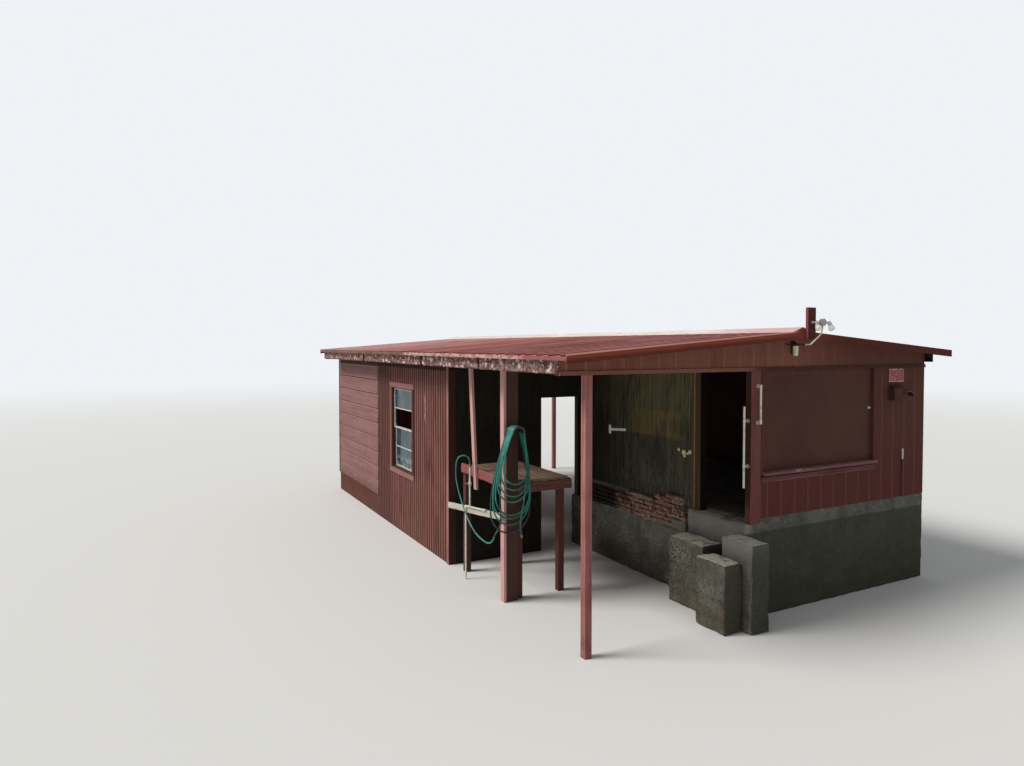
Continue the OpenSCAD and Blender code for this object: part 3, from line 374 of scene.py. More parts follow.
class Stock:
    """Like pieces of one material, cut and laid in plan coordinates and joined into one mesh."""

    def __init__(self):
        self.verts = []
        self.faces = []

    def add(self, verts, faces, laid=None):
        """A ready shape, laid in its place by a matrix if one is given."""
        first = len(self.verts)
        self.verts += [laid @ Vector(v) if laid else Vector(v) for v in verts]
        self.faces += [[first + i for i in face] for face in faces]

    def board(self, low, high, edge=0.002):
        self.add(*eased_box(low, high, edge))

    def sleeve(self, rings):
        """A skin over a row of like rings of points, closed at both ends."""
        n, count = len(rings[0]), len(rings)
        faces = [[a + j, a + (j + 1) % n, a + n + (j + 1) % n, a + n + j]
                 for a in range(0, n * (count - 1), n) for j in range(n)]
        ends = [list(range(n))[::-1], list(range(n * (count - 1), n * count))]
        self.add([p for ring in rings for p in ring], faces + ends)

    def rod(self, line, radius, sides=12):
        """A round bar along a line."""
        line = [Vector(p) for p in line]
        rings, across = [], None
        for i, p in enumerate(line):
            way = (line[min(i + 1, len(line) - 1)] - line[max(i - 1, 0)]).normalized()
            across = way.orthogonal().normalized() if across is None else across
            across = (across - across.dot(way) * way).normalized()
            rings.append(circle(p, way, radius, sides, across))
        self.sleeve(rings)

    def turned(self, foot, axis, profile, sides=24):
        """A turned part: radius and height of each ring above its foot."""
        foot, axis = Vector(foot), Vector(axis).normalized()
        self.sleeve([circle(foot + axis * height, axis, max(radius, 0.0002), sides)
                     for radius, height in profile])

    def piece(self, name, finish, slot, replaced=()):
        """The finished piece, riding on the building."""
        mesh = bpy.data.meshes.new(name)
        mesh.from_pydata([v + corner for v in self.verts], [], self.faces)
        mesh.shade_smooth()
        mesh.set_sharp_from_angle(angle=math.radians(32))
        mesh.materials.append(finish.material)
        built = stand(name, mesh)
        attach(built, "root")
        if replaced:
            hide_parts(*replaced)
        return built


def knurled_nut(stock, foot, axis, radius, height):
    """A nut with rounded ends and fine ridges, and a narrower ferrule behind it."""
    axis, waist = Vector(axis).normalized(), radius * 0.92
    stock.turned(foot, axis, [(radius * 0.8, 0), (radius, 0.002), (radius, 0.008), (waist, 0.010),
                              (waist, height - 0.018), (radius, height - 0.016), (radius, height - 0.004),
                              (radius * 0.75, height)], 32)
    for ridge in circle(Vector(foot), axis, waist, 20):
        stock.rod([ridge + axis * 0.011, ridge + axis * (height - 0.019)], radius * 0.09, 6)


brass = Finish("dull_brass", (150, 122, 70), 0.38, 0.85).layers(
    ((82, 66, 44), 0.7, cloud(0.012, 0.45, 0.65))).relief(0.0002, 0.002)
couplings = Stock()
nut_h = 0.045
knurled_nut(couplings, hose_line[0] - Vector((0, 0, nut_h)), (0, 0, 1), 0.016, nut_h)
knurled_nut(couplings, hose_line[-1], hose_line[-1] - hose_line[-2], 0.015, nut_h)
hose_couplings = couplings.piece("hose_couplings", brass, "brass_fitting", ["hose_ends"])


# The saddle that carries the turns is folded from sheet steel and screwed to the built-up post.
# Its dark paint is worn thin and spotted with rust.
def coat(finish, *nodes, edge=0.0):
    """A finish for solids that keep their own shape, with their sharp edges taken off."""
    for node in nodes:
        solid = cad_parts[node]
        solid.data.materials.clear()
        solid.data.materials.append(finish.material)
        if edge:
            bevel = solid.modifiers.new("eased_edges", "BEVEL")
            bevel.width = edge
            bevel.segments = 2
            bevel.limit_method = "ANGLE"
            bevel.angle_limit = math.radians(35)


rust_spots = ((96, 58, 38), 0.8, cloud(0.012, 0.60, 0.68, 3))
saddle_steel = Finish("saddle_steel", (62, 54, 48), 0.5, 0.3).layers(
    ((40, 34, 30), 0.6, cloud(0.05, 0.45, 0.62)), rust_spots).relief(0.0003, 0.003, 0.35, 0.65)
coat(saddle_steel, "hose_hanger", edge=0.0008)


# The foundation is poured concrete between rough boards: a ring of walls under the raised room,
# a door landing, a ledge for the bricks, the floor slab and three loose step blocks.
def rough_block(stock, low, high, cell, chip, pits=None, seed=0):
    """A cast block with a fine skin, chipped arrises and, where pits says so, holes in its face."""
    low, high = Vector(low), Vector(high)
    centre = (low + high) / 2
    counts = [max(2, round((high[i] - low[i]) / cell)) for i in range(3)]
    index = {}
    first = len(stock.verts)

    def vertex(key):
        if key in index:
            return index[key]
        p = Vector([low[i] + (high[i] - low[i]) * key[i] / counts[i] for i in range(3)])
        gaps = [min(p[i] - low[i], high[i] - p[i]) for i in range(3)]
        to_arris = sorted(gaps)[1]
        wave = noise(p * 9 + Vector((seed, 0, 0))) * 0.5 + noise(p * 31) * 0.3
        broken = max(0.0, noise(p * 5 + Vector((0, seed, 3))) + 0.25 + 0.4 * noise(p * 23))
        fall = max(0.0, 1 - to_arris / (chip * (1 + 2 * broken)))
        depth = 0.0015 * (1 + wave) + chip * 0.5 * (0.35 + broken * 2.2) * fall * fall
        if pits:
            depth += pits(p)
        for i in range(3):
            if gaps[i] < 1e-6:
                p[i] += math.copysign(depth, centre[i] - p[i])
        index[key] = len(stock.verts)
        stock.verts.append(p)
        return index[key]

    for a in range(3):
        b, c = (a + 1) % 3, (a + 2) % 3
        for side, i, j in itertools.product((0, counts[a]), range(counts[b]), range(counts[c])):
            ring = []
            for di, dj in ((0, 0), (1, 0), (1, 1), (0, 1)):
                key = [0, 0, 0]
                key[a], key[b], key[c] = side, i + di, j + dj
                ring.append(vertex(tuple(key)))
            stock.faces.append(ring if side else ring[::-1])
    return first


flat_top = facing("Z", 0.8, 0.95)
comb = (between("Z", 0.60, 0.83, 0.03), between("Y", 0.60, 1.03, 0.03), facing("X", -0.3, -0.6))
concrete = Finish("weathered_concrete", (106, 105, 96), 0.88).layers(
    ((84, 84, 76), 0.8, cloud(0.55, 0.40, 0.62)),
    ((58, 58, 52), 0.5, cloud((0.16, 0.16, 0.7), 0.48, 0.70, 2)),
    ((140, 137, 124), 0.4, cloud(0.07, 0.50, 0.68, 7)),
    ((74, 66, 52), 0.75, along("Z", 1.0, 0.15), cloud((0.5, 0.5, 0.35), 0.36, 0.6, 5)),
    ((52, 46, 36), 0.6, along("Z", 0.9, 0.5), cloud(0.035, 0.50, 0.62, 15)),
    ((46, 44, 38), 0.6, cloud(0.006, 0.60, 0.66, 1)),
    ((154, 154, 147), 0.65, along("Z", 0.80, 1.10), along("X", 2.60, 2.45), along("Y", 1.15, 1.00)),
    ((134, 132, 116), 0.6, *comb),
    # Painted shade: dark spots stand in for the shade inside the honeycomb holes.
    ((26, 25, 20), 0.9, *comb, cloud(0.030, 0.50, 0.56, 31)),
    ((200, 198, 182), 0.9, flat_top, cloud(0.12, 0.30, 0.5, 9)),
    ((112, 112, 104), 0.7, flat_top, cloud(0.3, 0.5, 0.6, 19)),
    # Painted shade on the faces towards the gable, below the raised floor.
    ((60, 60, 51), 0.75, facing("Y", -0.6, -0.9), along("Z", 1.1, 1.07)),
    # Painted shade on the floor just inside the raised doorway.
    ((44, 44, 46), 0.8, along("X", 2.58, 2.80), along("Y", 0.12, 0.40), along("Z", 1.16, 1.18)),
).relief(0.002, 0.05).relief(0.0012, 0.005, 0.35, 0.65, 3)
coat(concrete, "room_floor", "right_wall_base")

base_low, base_high = plan_box("foundation")
floor_low, floor_high = plan_box("room_floor")
brick_low, brick_high = plan_box("brick_course")
partition_low, partition_high = plan_box("partition_wall")
pilaster_low, pilaster_high = plan_box("pilaster")
wall_low, wall_high = plan_box("front_wall_low")
ring_t = 0.204
stem_x, inner_x, right_x = base_low.x, partition_low.x + ring_t, base_high.x
under_floor, sill_z, back_y = floor_low.z, floor_high.z, base_high.y
landing_y = partition_low.y
lap = 0.03
# Both corners of each block, the size of its cells and the depth of its chips
cast_blocks = (
    ((stem_x, 0, 0), (brick_high.x, back_y, brick_low.z), 0.035, 0.018),
    ((brick_high.x - lap, 0, 0), (inner_x, back_y, under_floor), 0.06, 0.004),
    ((stem_x, 0, brick_low.z - lap), (brick_high.x, landing_y, under_floor), 0.030, 0.016),
    ((stem_x, 0, under_floor - lap), (floor_low.x, landing_y, sill_z), 0.022, 0.024),
    ((brick_high.x, landing_y - lap, under_floor - lap), (floor_low.x, back_y, sill_z), 0.05, 0.004),
    ((inner_x - lap, 0, 0), (right_x, floor_low.y, under_floor), 0.06, 0.006),
    ((inner_x - lap, floor_low.y - lap, 0), (right_x, ring_t, under_floor), 0.12, 0.004),
    ((inner_x - lap, back_y - ring_t, 0), (right_x, back_y, under_floor), 0.06, 0.006),
    ((right_x - ring_t, ring_t - lap, 0), (right_x, back_y, under_floor), 0.06, 0.006),
    ((floor_low.x - lap, 0, under_floor - lap), (pilaster_high.x + lap, floor_low.y, sill_z), 0.04, 0.010),
    ((pilaster_high.x, 0, under_floor - lap), (right_x, floor_low.y, wall_low.z), 0.05, 0.006),
    ((floor_high.x, floor_low.y - lap, under_floor - lap), (right_x, back_y, wall_low.z), 0.05, 0.006))
cast = Stock()
for seed, (low, high, cell, chip) in enumerate(cast_blocks, 1):
    rough_block(cast, low, high, cell, chip, seed=seed)
cast.piece("cast_foundation", concrete, "concrete", ["foundation"])

steps_low, steps_high = plan_box("step_blocks")
going = (steps_high.x - steps_low.x) / 2
side_face = steps_high.x - 0.350


def honeycomb(p):
    """Stones that never filled leave holes low on the left face of the side block."""
    if p.x > side_face + 0.001 or p.z > 0.85:
        return 0
    patch = max(0.0, noise(p * 4.5 + Vector((2, 5, 1))) + 0.35)
    return 0.022 * patch * max(0.0, noise(p * 38)) ** 0.5 if patch else 0


blocks = Stock()
for seed, (low, high, cell, chip, pits) in enumerate((
        ((steps_low.x, -0.270, 0), (steps_low.x + going, 0.230, 0.850), 0.014, 0.026, None),
        ((steps_low.x + going, steps_low.y, 0), (steps_high.x, 0.100, 1.085), 0.014, 0.022, None),
        ((side_face, 0.370, 0), (steps_high.x, 1.020, 0.890), 0.011, 0.026, honeycomb)), 21):
    rough_block(blocks, low, high, cell, chip, pits, seed)
blocks.piece("rough_step_blocks", concrete, "concrete", ["step_blocks"])


# Old clay bricks close the ledge under the partition. They were laid in cement on the foundation
# and have broken away at both ends, and three of them lie loose on the upper courses.
clay = Finish("worn_clay", (138, 92, 78), 0.9).layers(
    ((112, 74, 64), 0.8, cloud((0.3, 0.19, 0.07), 0.42, 0.60)),
    ((168, 122, 102), 0.7, cloud(0.09, 0.50, 0.62, 2)),
    ((186, 168, 148), 0.5, cloud((0.05, 0.08, 0.03), 0.48, 0.58, 6)),
    ((64, 52, 46), 0.8, cloud(0.2, 0.52, 0.62, 9)),
    ((112, 116, 92), 0.8, cloud(0.16, 0.56, 0.64, 14)),
    # Painted shade: the bricks go dark towards the back of the bay.
    ((34, 30, 26), 0.95, along("Y", 2.55, 2.80)),
).relief(0.002, 0.006)
mortar = Finish("old_mortar", (168, 158, 142), 0.95).layers(
    ((104, 96, 86), 0.7, cloud(0.06, 0.46, 0.6)),
    ((62, 56, 50), 0.7, cloud(0.25, 0.5, 0.66, 5)),
    # Painted shade towards the back of the bay.
    ((34, 31, 27), 0.95, along("Y", 2.55, 2.80)),
    ((112, 110, 100), 0.85, along("Y", 1.54, 1.46), along("Z", 1.00, 0.99)),
).relief(0.002, 0.004)

course_h = 0.068
brick_l, joint = 0.203, 0.010
mortar_set_back, cement_near, cement_proud = 0.022, 1.092, 0.0005
chance = random.Random(11)
bricks, beds = Stock(), Stock()
# Near and far end of each course
course_ends = ((1.52, 3.60), (1.36, 3.60), (1.09, 3.60), (1.09, 3.60), (1.13, 2.45), (1.17, 1.62))
for course, (y0, y1) in enumerate(course_ends):
    z0 = brick_low.z + course * course_h
    y = brick_low.y - (course % 2) * brick_l / 2
    while y < y1 - 0.03:
        near, far = max(y, y0), min(y + brick_l - joint, y1)
        if far - near > 0.045:
            ragged = near > y + 0.001 or chance.random() < 0.3
            worn_back = chance.choice((0, 0, 0, 0.003, 0.016)) + chance.uniform(0, 0.002)
            first = rough_block(bricks, (brick_low.x + worn_back, near, z0 + 0.004),
                                (brick_high.x, far - ragged * 0.02, z0 + course_h - 0.004), 0.020,
                                0.016 if ragged else 0.009, seed=100 * course + y)
            sink = chance.uniform(-0.004, 0.004)
            for v in bricks.verts[first:]:
                v.z += sink
        y += brick_l
    rough_block(beds, (brick_low.x + mortar_set_back, y0 + 0.012, z0),
                (brick_high.x, y1 - 0.008, z0 + course_h - 0.001), 0.03, 0.010, seed=40 + course)
for y1, courses in ((1.53, 1), (1.37, 2)):
    rough_block(beds, (brick_low.x + cement_proud, cement_near, brick_low.z),
                (brick_high.x, y1, brick_low.z + courses * course_h), 0.04, 0.006, seed=y1)
loose = Stock()
rough_block(loose, (-0.045, -0.09, 0), (0.045, 0.09, 0.060), 0.02, 0.012, seed=77)
for y, up, yaw, lean in ((1.265, 6, 9, 0), (1.450, 6, -14, 0), (1.700, 5, 5, 24)):
    lie = Matrix.Translation((brick_low.x + 0.046, y, brick_low.z + up * course_h + 0.001))
    lie = lie @ Matrix.Rotation(math.radians(yaw), 4, "Z") @ Matrix.Rotation(math.radians(lean), 4, "X")
    bricks.add(loose.verts, loose.faces, lie)
bricks.piece("clay_bricks", clay, "brick", ["brick_course"])
beds.piece("mortar_beds", mortar, "brick")


# Square posts carry the roof over the open bays, and studs are nailed into a built-up post beside
# the hose. All of them are sawn softwood under barn-red paint that the sun has bleached.
def timber_paint(name, ground, pale, dark, grain, wear=0.5, foot=0.5):
    """Old paint on sawn wood. Grain gives the size of the streaks along X, Y and Z."""
    def scaled(share):
        return tuple(share * g for g in grain)
    return Finish(name, ground, 0.78).layers(
        (pale, 0.55 * wear, cloud(grain, 0.42, 0.64)),
        (dark, 0.55, cloud(scaled(2.4), 0.48, 0.66, 3)),
        (pale, 0.35 * wear, cloud(0.5, 0.42, 0.62, 5)),
        ((156, 140, 128), 0.8 * wear, cloud((0.012, 0.012, 0.05), 0.655, 0.70, 8)),
        ((82, 70, 60), foot, along("Z", 0.5, 0.0), cloud(0.12, 0.35, 0.6, 2)),
    ).relief(0.0012, scaled(0.35), seed=6).relief(0.0004, 0.003, 0.35, 0.65)


upright = (0.014, 0.014, 0.55)
post_paint = timber_paint("post_paint", (158, 98, 94), (190, 142, 137), (116, 66, 61), upright, 0.9).layers(
    ((124, 66, 64), 0.4, along("Z", 2.4, 1.5)),
    # Painted shade on the built-up post behind the studs, under the roof.
    ((70, 52, 44), 0.92, between("Y", 1.90, 2.10, 0.01), along("X", 0.036, 0.044)),
    # Painted sunlight on the left faces of the studs and the built-up post.
    ((206, 162, 158), 0.8, between("Y", 1.90, 3.20, 0.02), along("X", 0.042, 0.030)))
coat(post_paint, "posts", edge=0.003)
dark_post = timber_paint("dark_post", (108, 62, 56), (132, 88, 82), (78, 40, 35), upright, 0.7).layers(
    ((76, 48, 43), 0.75, along("X", 1.6, 1.2)),
    # Painted shade on the left face of the pilaster.
    ((44, 31, 28), 0.85, facing("X", -0.3, -0.7), along("X", 1.8, 2.2), along("Z", 1.25, 1.55)))
coat(dark_post, "pilaster", "bench_legs", edge=0.003)
peak_red = timber_paint("peak_red", (80, 38, 37), (98, 54, 52), (52, 23, 22), upright, 0.3).layers(
    # Painted sunlight on the left face of the peak post.
    ((132, 80, 80), 0.8, facing("X", -0.3, -0.7)))
coat(peak_red, "peak_post", edge=0.003)


# The gable and the right and back walls are grooved plywood siding, painted barn red and nailed
# to the studs behind it. The sheets stand side by side, with a groove every ten inches.
def repeated(axis, start, spacing, low, high):
    """A step in the distance from the nearest of many even lines across one axis of the plan."""
    def mask(finish):
        past = finish.math("SUBTRACT", finish.axis(axis), corner["XYZ".index(axis)] + start)
        wave = finish.add("Math", {0: past, 1: spacing / 2}, operation="PINGPONG")
        return finish.step(wave.outputs[0], low, high)
    return mask


groove_pitch = 0.254
in_groove = repeated("X", 0, groove_pitch, 0.018, 0.010)
siding_red = timber_paint("siding_red", (122, 78, 65), (138, 93, 78), (98, 60, 48),
                          (0.03, 0.03, 0.9), 0.5, 0.3)
siding_red.layers(
    ((160, 122, 104), 0.5, in_groove, along("Z", 3.14, 3.16)),
    ((82, 48, 42), 0.88, along("Z", 3.150, 3.135)),
    ((84, 52, 43), 0.7, along("X", 3.2, 4.6)),
    ((80, 38, 38), 0.5, along("Z", 2.1, 1.2), cloud((0.05, 0.05, 0.5), 0.45, 0.6)),
    ((92, 42, 42), 0.5, along("Z", 3.0, 1.3), along("Z", 3.15, 3.13)),
    # Painted light: the grooves below the header are painted paler to cancel their shade.
    ((132, 88, 78), 0.6, in_groove, along("Z", 3.16, 3.14)))
coat(siding_red, "gable_headers", "front_wall_low", "front_wall_right", "back_wall", "right_wall")
rust_iron = Finish("rusty_nail", (84, 56, 48), 0.7, 0.4).layers(((120, 76, 62), 0.7, cloud(0.02)))


def nail(stock, at, way, radius=0.0035):
    """A round head that stands a little proud of the board."""
    stock.turned(at, way, [(radius * 0.9, -0.001), (radius, 0.0006), (radius * 0.7, 0.0014), (0, 0.0017)], 8)


FRONT, LEFT = (0, -1, 0), (-1, 0, 0)
header_low, header_high = plan_box("gable_headers")
right_low, right_high = plan_box("front_wall_right")
side_low, side_high = plan_box("right_wall")
rear_high = plan_box("back_wall")[1]
stud_shift = 0.024
siding_nails = Stock()
chance = random.Random(5)
for i in range(1, 24):
    x = i * groove_pitch + stud_shift
    rows = [header_low.z + 0.07, header_low.z + 0.26]
    if wall_low.x < x < wall_high.x:
        rows += [wall_low.z + 0.05, wall_high.z - 0.16]
    if right_low.x < x < right_high.x:
        rows += [right_low.z + 0.25, right_low.z + 0.6]
    for z in rows:
        nail(siding_nails, (x + chance.uniform(-0.003, 0.003), 0, z), FRONT)
    for z in (0.3, 0.9, 1.5, 2.1, 2.7, header_low.z + 0.2):
        if x < rear_high.x or z > header_low.z:
            nail(siding_nails, (x, rear_high.y, z + chance.uniform(-0.01, 0.01)), (0, 1, 0))
for i in range(1, 27):
    y = i * groove_pitch + stud_shift
    for z in (side_low.z + 0.06, side_low.z + 0.65, side_low.z + 1.25, side_high.z - 0.08):
        nail(siding_nails, (side_high.x, y, z + chance.uniform(-0.01, 0.01)), (1, 0, 0))
siding_nails.piece("siding_nails", rust_iron, "red_siding")


# The eave wall beside the window is ribbed siding with a groove every four inches. Sun has
# bleached its ribs, and runs of pale dust come down from the eave.
rib_pitch = 0.102
# Faces towards the gable at the edge of the bay; they carry painted shade.
bay_side = (facing("Y", -0.3, -0.7), between("Y", 3.78, 3.92, 0.01))
ribbed_red = timber_paint("ribbed_red", (92, 52, 46), (118, 77, 70), (66, 33, 29), (0.02, 0.02, 0.7), 0.8)
ribbed_red.layers(
    # Painted shade in the grooves.
    ((44, 20, 18), 0.85, repeated("Y", 0, rib_pitch, 0.016, 0.004)),
    ((142, 97, 90), 0.7, repeated("Y", 0, rib_pitch, 0.024, 0.046), cloud((0.2, 0.14, 0.9), 0.36, 0.52, 4)),
    ((66, 36, 32), 0.5, along("Y", 6.4, 6.9)),
    ((186, 160, 140), 0.8, between("Y", 4.86, 4.92, 0.02), between("Z", 2.20, 2.62, 0.10),
     cloud((0.05, 0.02, 0.12), 0.40, 0.55, 9)),
    # Painted shadow of the fascia along the top of the wall.
    ((34, 17, 15), 0.85, along("Z", 3.045, 3.075)),
    # Painted shade on the end of the wall that faces into the bay.
    ((58, 32, 28), 0.85, *bay_side))
coat(ribbed_red, "ribbed_wall_sides", "ribbed_wall_middle")

rib_nails = Stock()
rib_low, rib_high = plan_box("ribbed_wall_sides")
pane_low, pane_high = plan_box("window_glass")
casing_w = 0.15
for i in range(math.ceil(rib_low.y / rib_pitch) + 1, math.floor(rib_high.y / rib_pitch)):
    y = (i + 0.5) * rib_pitch
    for z in (0.12, 0.75, 1.9, 2.55, rib_high.z - 0.14):
        if not (pane_low.y - casing_w < y < pane_high.y + casing_w and 1.1 < z < 2.75):
            at = (0, y + chance.uniform(-0.006, 0.006), z + chance.uniform(-0.01, 0.01))
            nail(rib_nails, at, LEFT)
rib_nails.piece("rib_nails", rust_iron, "red_siding")


# Past the ribbed siding the eave wall is lapped hardboard: wide boards, each one nailed over the
# head of the one below. The bottom board is frayed by damp and stands on a painted skirt.
lap_low, lap_high = plan_box("lap_wall")
exposure, lap_step = 0.293, 0.012
lap_line = ("Z", lap_low.z - 0.004, exposure)
lap_red = timber_paint("lap_red", (132, 94, 92), (150, 114, 110), (106, 70, 66), (0.02, 0.9, 0.02), 0.7, 0.2)
lap_red.layers(
    ((152, 120, 115), 0.4, cloud((0.05, 0.05, 0.25), 0.52, 0.68, 12)),
    # Painted highlight: a thin pale band beside each lap.
    ((164, 128, 122), 0.6, repeated(*lap_line, 0.010, 0.016), repeated(*lap_line, 0.034, 0.020)),
    # Painted shadow: a thin dark line at each lap.
    ((50, 25, 22), 0.92, repeated(*lap_line, 0.013, 0.006)),
    # Painted shadow of the fascia along the top of the wall.
    ((40, 21, 19), 0.85, along("Z", 3.045, 3.075)),
    ((98, 76, 66), 0.7, along("Z", lap_low.z + 0.30, lap_low.z), cloud(0.10, 0.35, 0.6, 4)))
wall_back = Stock()
wall_back.board((0.002, lap_low.y, lap_low.z), lap_high)
wall_back.piece("lap_wall_core", lap_red, "lap_siding", ["lap_wall"])
boards, lap_nails = Stock(), Stock()
chance = random.Random(3)
course = 0
z0 = lap_low.z
while z0 < lap_high.z - 0.02:
    z1 = min(z0 + exposure, lap_high.z)
    seam = lap_low.y + (0.95, 2.1)[course % 2] + chance.uniform(-0.1, 0.1)
    for y0, y1 in ((lap_low.y + 0.001, seam - 0.002), (seam + 0.002, lap_high.y - 0.046)):
        count = max(3, round((y1 - y0) / 0.09))
        sections = []
        for i in range(count + 1):
            y = y0 + (y1 - y0) * i / count
            sag = 0.003 * noise(Vector((0, y * 2.2, course)))
            fray = 0.010 * max(0.0, noise(Vector((5, y * 9, 1)))) if course == 0 else 0
            belly = 0.002 * noise(Vector((course, y * 1.7, 4)))
            foot, face = z0 + sag + fray, belly * 0.5 - lap_step
            sections.append([
                (0.001, y, foot), (face + 0.0015, y, foot), (face, y, foot + 0.003),
                (belly - 0.0065, y, (z0 + z1) / 2), (-0.001, y, z1 + 0.006), (0.0015, y, z1 + 0.006)])
        boards.sleeve(sections)
    for i in range(8):
        y = lap_low.y + 0.12 + i * 0.40
        nail(lap_nails, (0.002 - lap_step, y + chance.uniform(-0.01, 0.01), z0 + 0.022), LEFT, 0.004)
    z0 += exposure
    course += 1
boards.piece("lapped_boards", lap_red, "lap_siding")
lap_nails.piece("lap_nails", rust_iron, "lap_siding")
skirt_red = timber_paint("skirt_red", (87, 43, 35), (108, 62, 53), (72, 34, 29), (0.02, 0.5, 0.02), 0.6, 0.6)
coat(skirt_red, "base_skirt", edge=0.003)


# Flat boards trim the corners of the eave wall and the foot of the gable's header. Their paint
# has bleached to a pale pink and flakes along the edges.
trim_pink = timber_paint("trim_pink", (134, 92, 84), (164, 124, 116), (100, 62, 54), upright, 0.9, 0.6)
trim_pink.layers(
    # Painted shade on the faces towards the gable.
    ((122, 78, 66), 0.75, facing("Y", -0.3, -0.7)),
    ((66, 37, 32), 0.92, along("X", 2.3, 2.8)),
    # Painted shade on the trim at the edge of the bay.
    ((58, 32, 28), 0.85, *bay_side))
coat(trim_pink, "trim_boards", edge=0.002)


# The window is a pair of slim white sashes behind wide casing boards. Each sash has two panes,
# and the lower pane of the upper sash has gone, so that the dark room shows.
casing_low, casing_high = plan_box("window_casing")
sash_low, sash_high = plan_box("window_sashes")
sash_span = between("Z", sash_low.z, sash_high.z, 0.004)
casing_pink = timber_paint("casing_pink", (98, 60, 54), (128, 88, 82), (70, 40, 35),
                           (0.016, 0.3, 0.3), 0.9, 0.0)
casing_pink.layers(
    ((158, 116, 110), 0.6, between("Z", sash_high.z + 0.01, casing_high.z + 0.1, 0.01)),
    ((158, 116, 110), 0.6, between("Z", casing_low.z - 0.1, sash_low.z - 0.01, 0.01)),
    ((72, 40, 35), 0.85, along("Y", sash_low.y + 0.004, sash_low.y - 0.004), sash_span),
    ((124, 84, 78), 0.85, along("Y", sash_high.y - 0.004, sash_high.y + 0.004), sash_span))
casing = Stock()
gap = 0.0015
casing.board((casing_low.x, casing_low.y, sash_high.z), casing_high, 0.003)
casing.board(casing_low, (casing_high.x, casing_high.y, sash_low.z), 0.003)
for y0, y1 in ((casing_low.y, sash_low.y), (sash_high.y, casing_high.y)):
    casing.board((casing_low.x + gap, y0, sash_low.z + gap), (casing_high.x, y1, sash_high.z - gap), 0.003)
casing.piece("window_casing_boards", casing_pink, "light_trim", ["window_casing"])

liner = Stock()
liner_t, wall_t = 0.012, 0.100
y0, y1 = sash_low.y + liner_t, sash_high.y - liner_t
for ya, yb, za, zb in ((sash_low.y, y0, sash_low.z, sash_high.z),
                       (y1, sash_high.y, sash_low.z, sash_high.z),
                       (y0, y1, sash_high.z - liner_t, sash_high.z),
                       (y0, y1, sash_low.z, sash_low.z + liner_t)):
    liner.board((0, ya, za), (wall_t, yb, zb), 0.001)
liner_dark = timber_paint("liner_dark", (84, 52, 48), (110, 76, 70), (52, 32, 30), upright, 0.4, 0.0)
liner.piece("window_liner", liner_dark, "light_trim")

sash_white = Finish("dusty_white", (198, 192, 188), 0.6).layers(
    ((160, 152, 146), 0.7, cloud(0.06, 0.42, 0.62)),
    ((108, 92, 84), 0.6, cloud(0.012, 0.58, 0.68, 4))).relief(0.0004, 0.01)
sashes = Stock()
rail, half_bar = 0.030, 0.0105
middle_z = (sash_low.z + sash_high.z) / 2
sash_t = (sash_high.x - sash_low.x) / 2
pane_edges = []
for x, z0, z1 in ((sash_low.x, middle_z - rail / 2, sash_high.z - liner_t),
                  (sash_low.x + sash_t, sash_low.z + liner_t, middle_z + rail / 2)):
    half, back, pane_x = (z0 + z1) / 2, x + sash_t - 0.001, x + sash_t * 0.6
    for za, zb in ((z0, z0 + rail), (half - half_bar, half + half_bar), (z1 - rail, z1)):
        sashes.board((x + 0.004, y0 + rail, za), (back, y1 - rail, zb), 0.003)
    for ya, yb in ((y0, y0 + rail), (y1 - rail, y1)):
        sashes.board((x + 0.003, ya, z0), (back, yb, z1), 0.003)
    pane_edges += [(pane_x, z0 + rail, half - half_bar), (pane_x, half + half_bar, z1 - rail)]
sashes.piece("sash_rails", sash_white, "window_paint", ["window_sashes"])

# The dark teal ground and the two clouds over it are painted reflection; the pale layer low on the panes is
# dust.
glass_dust_and_reflection = Finish("glass_dust_and_reflection", (30, 54, 64), 0.12).layers(
    ((66, 90, 97), 0.8, cloud((0.1, 0.25, 0.40), 0.42, 0.60, detail=2)),
    ((20, 36, 44), 0.8, cloud((0.1, 0.08, 0.5), 0.52, 0.66, 5, 2)),
    ((150, 166, 162), 0.75, along("Z", sash_low.z + 0.34, sash_low.z + 0.05), cloud(0.10, 0.44, 0.60, 8, 2)),
).gloss(0.10, 0.28, cloud(0.3, 0.4, 0.65, 2, 2))
glass_dust_and_reflection.sockets["Alpha"].default_value = 0.86
panes = Stock()
half_pane, uneven, in_rail = 0.0015, 0.0004, 0.004
for number, (x, z0, z1) in enumerate(pane_edges[1:], -1):
    panes.board((x - half_pane + uneven * number, y0 + rail - in_rail, z0 - in_rail),
                (x + half_pane, y1 - rail + in_rail, z1 + in_rail), 0.0005)
panes.piece("window_panes", glass_dust_and_reflection, "window_panes", ["window_glass"])
shards = Stock()
shard_x, shard_z = pane_edges[0][:2]
shards.sleeve([[(x, y1 - rail, shard_z), (x, y1 - rail, shard_z + 0.10), (x, y1 - rail - 0.14, shard_z)]
               for x in (shard_x, shard_x + 0.003)])
shards.piece("broken_pane", glass_dust_and_reflection, "window_panes")


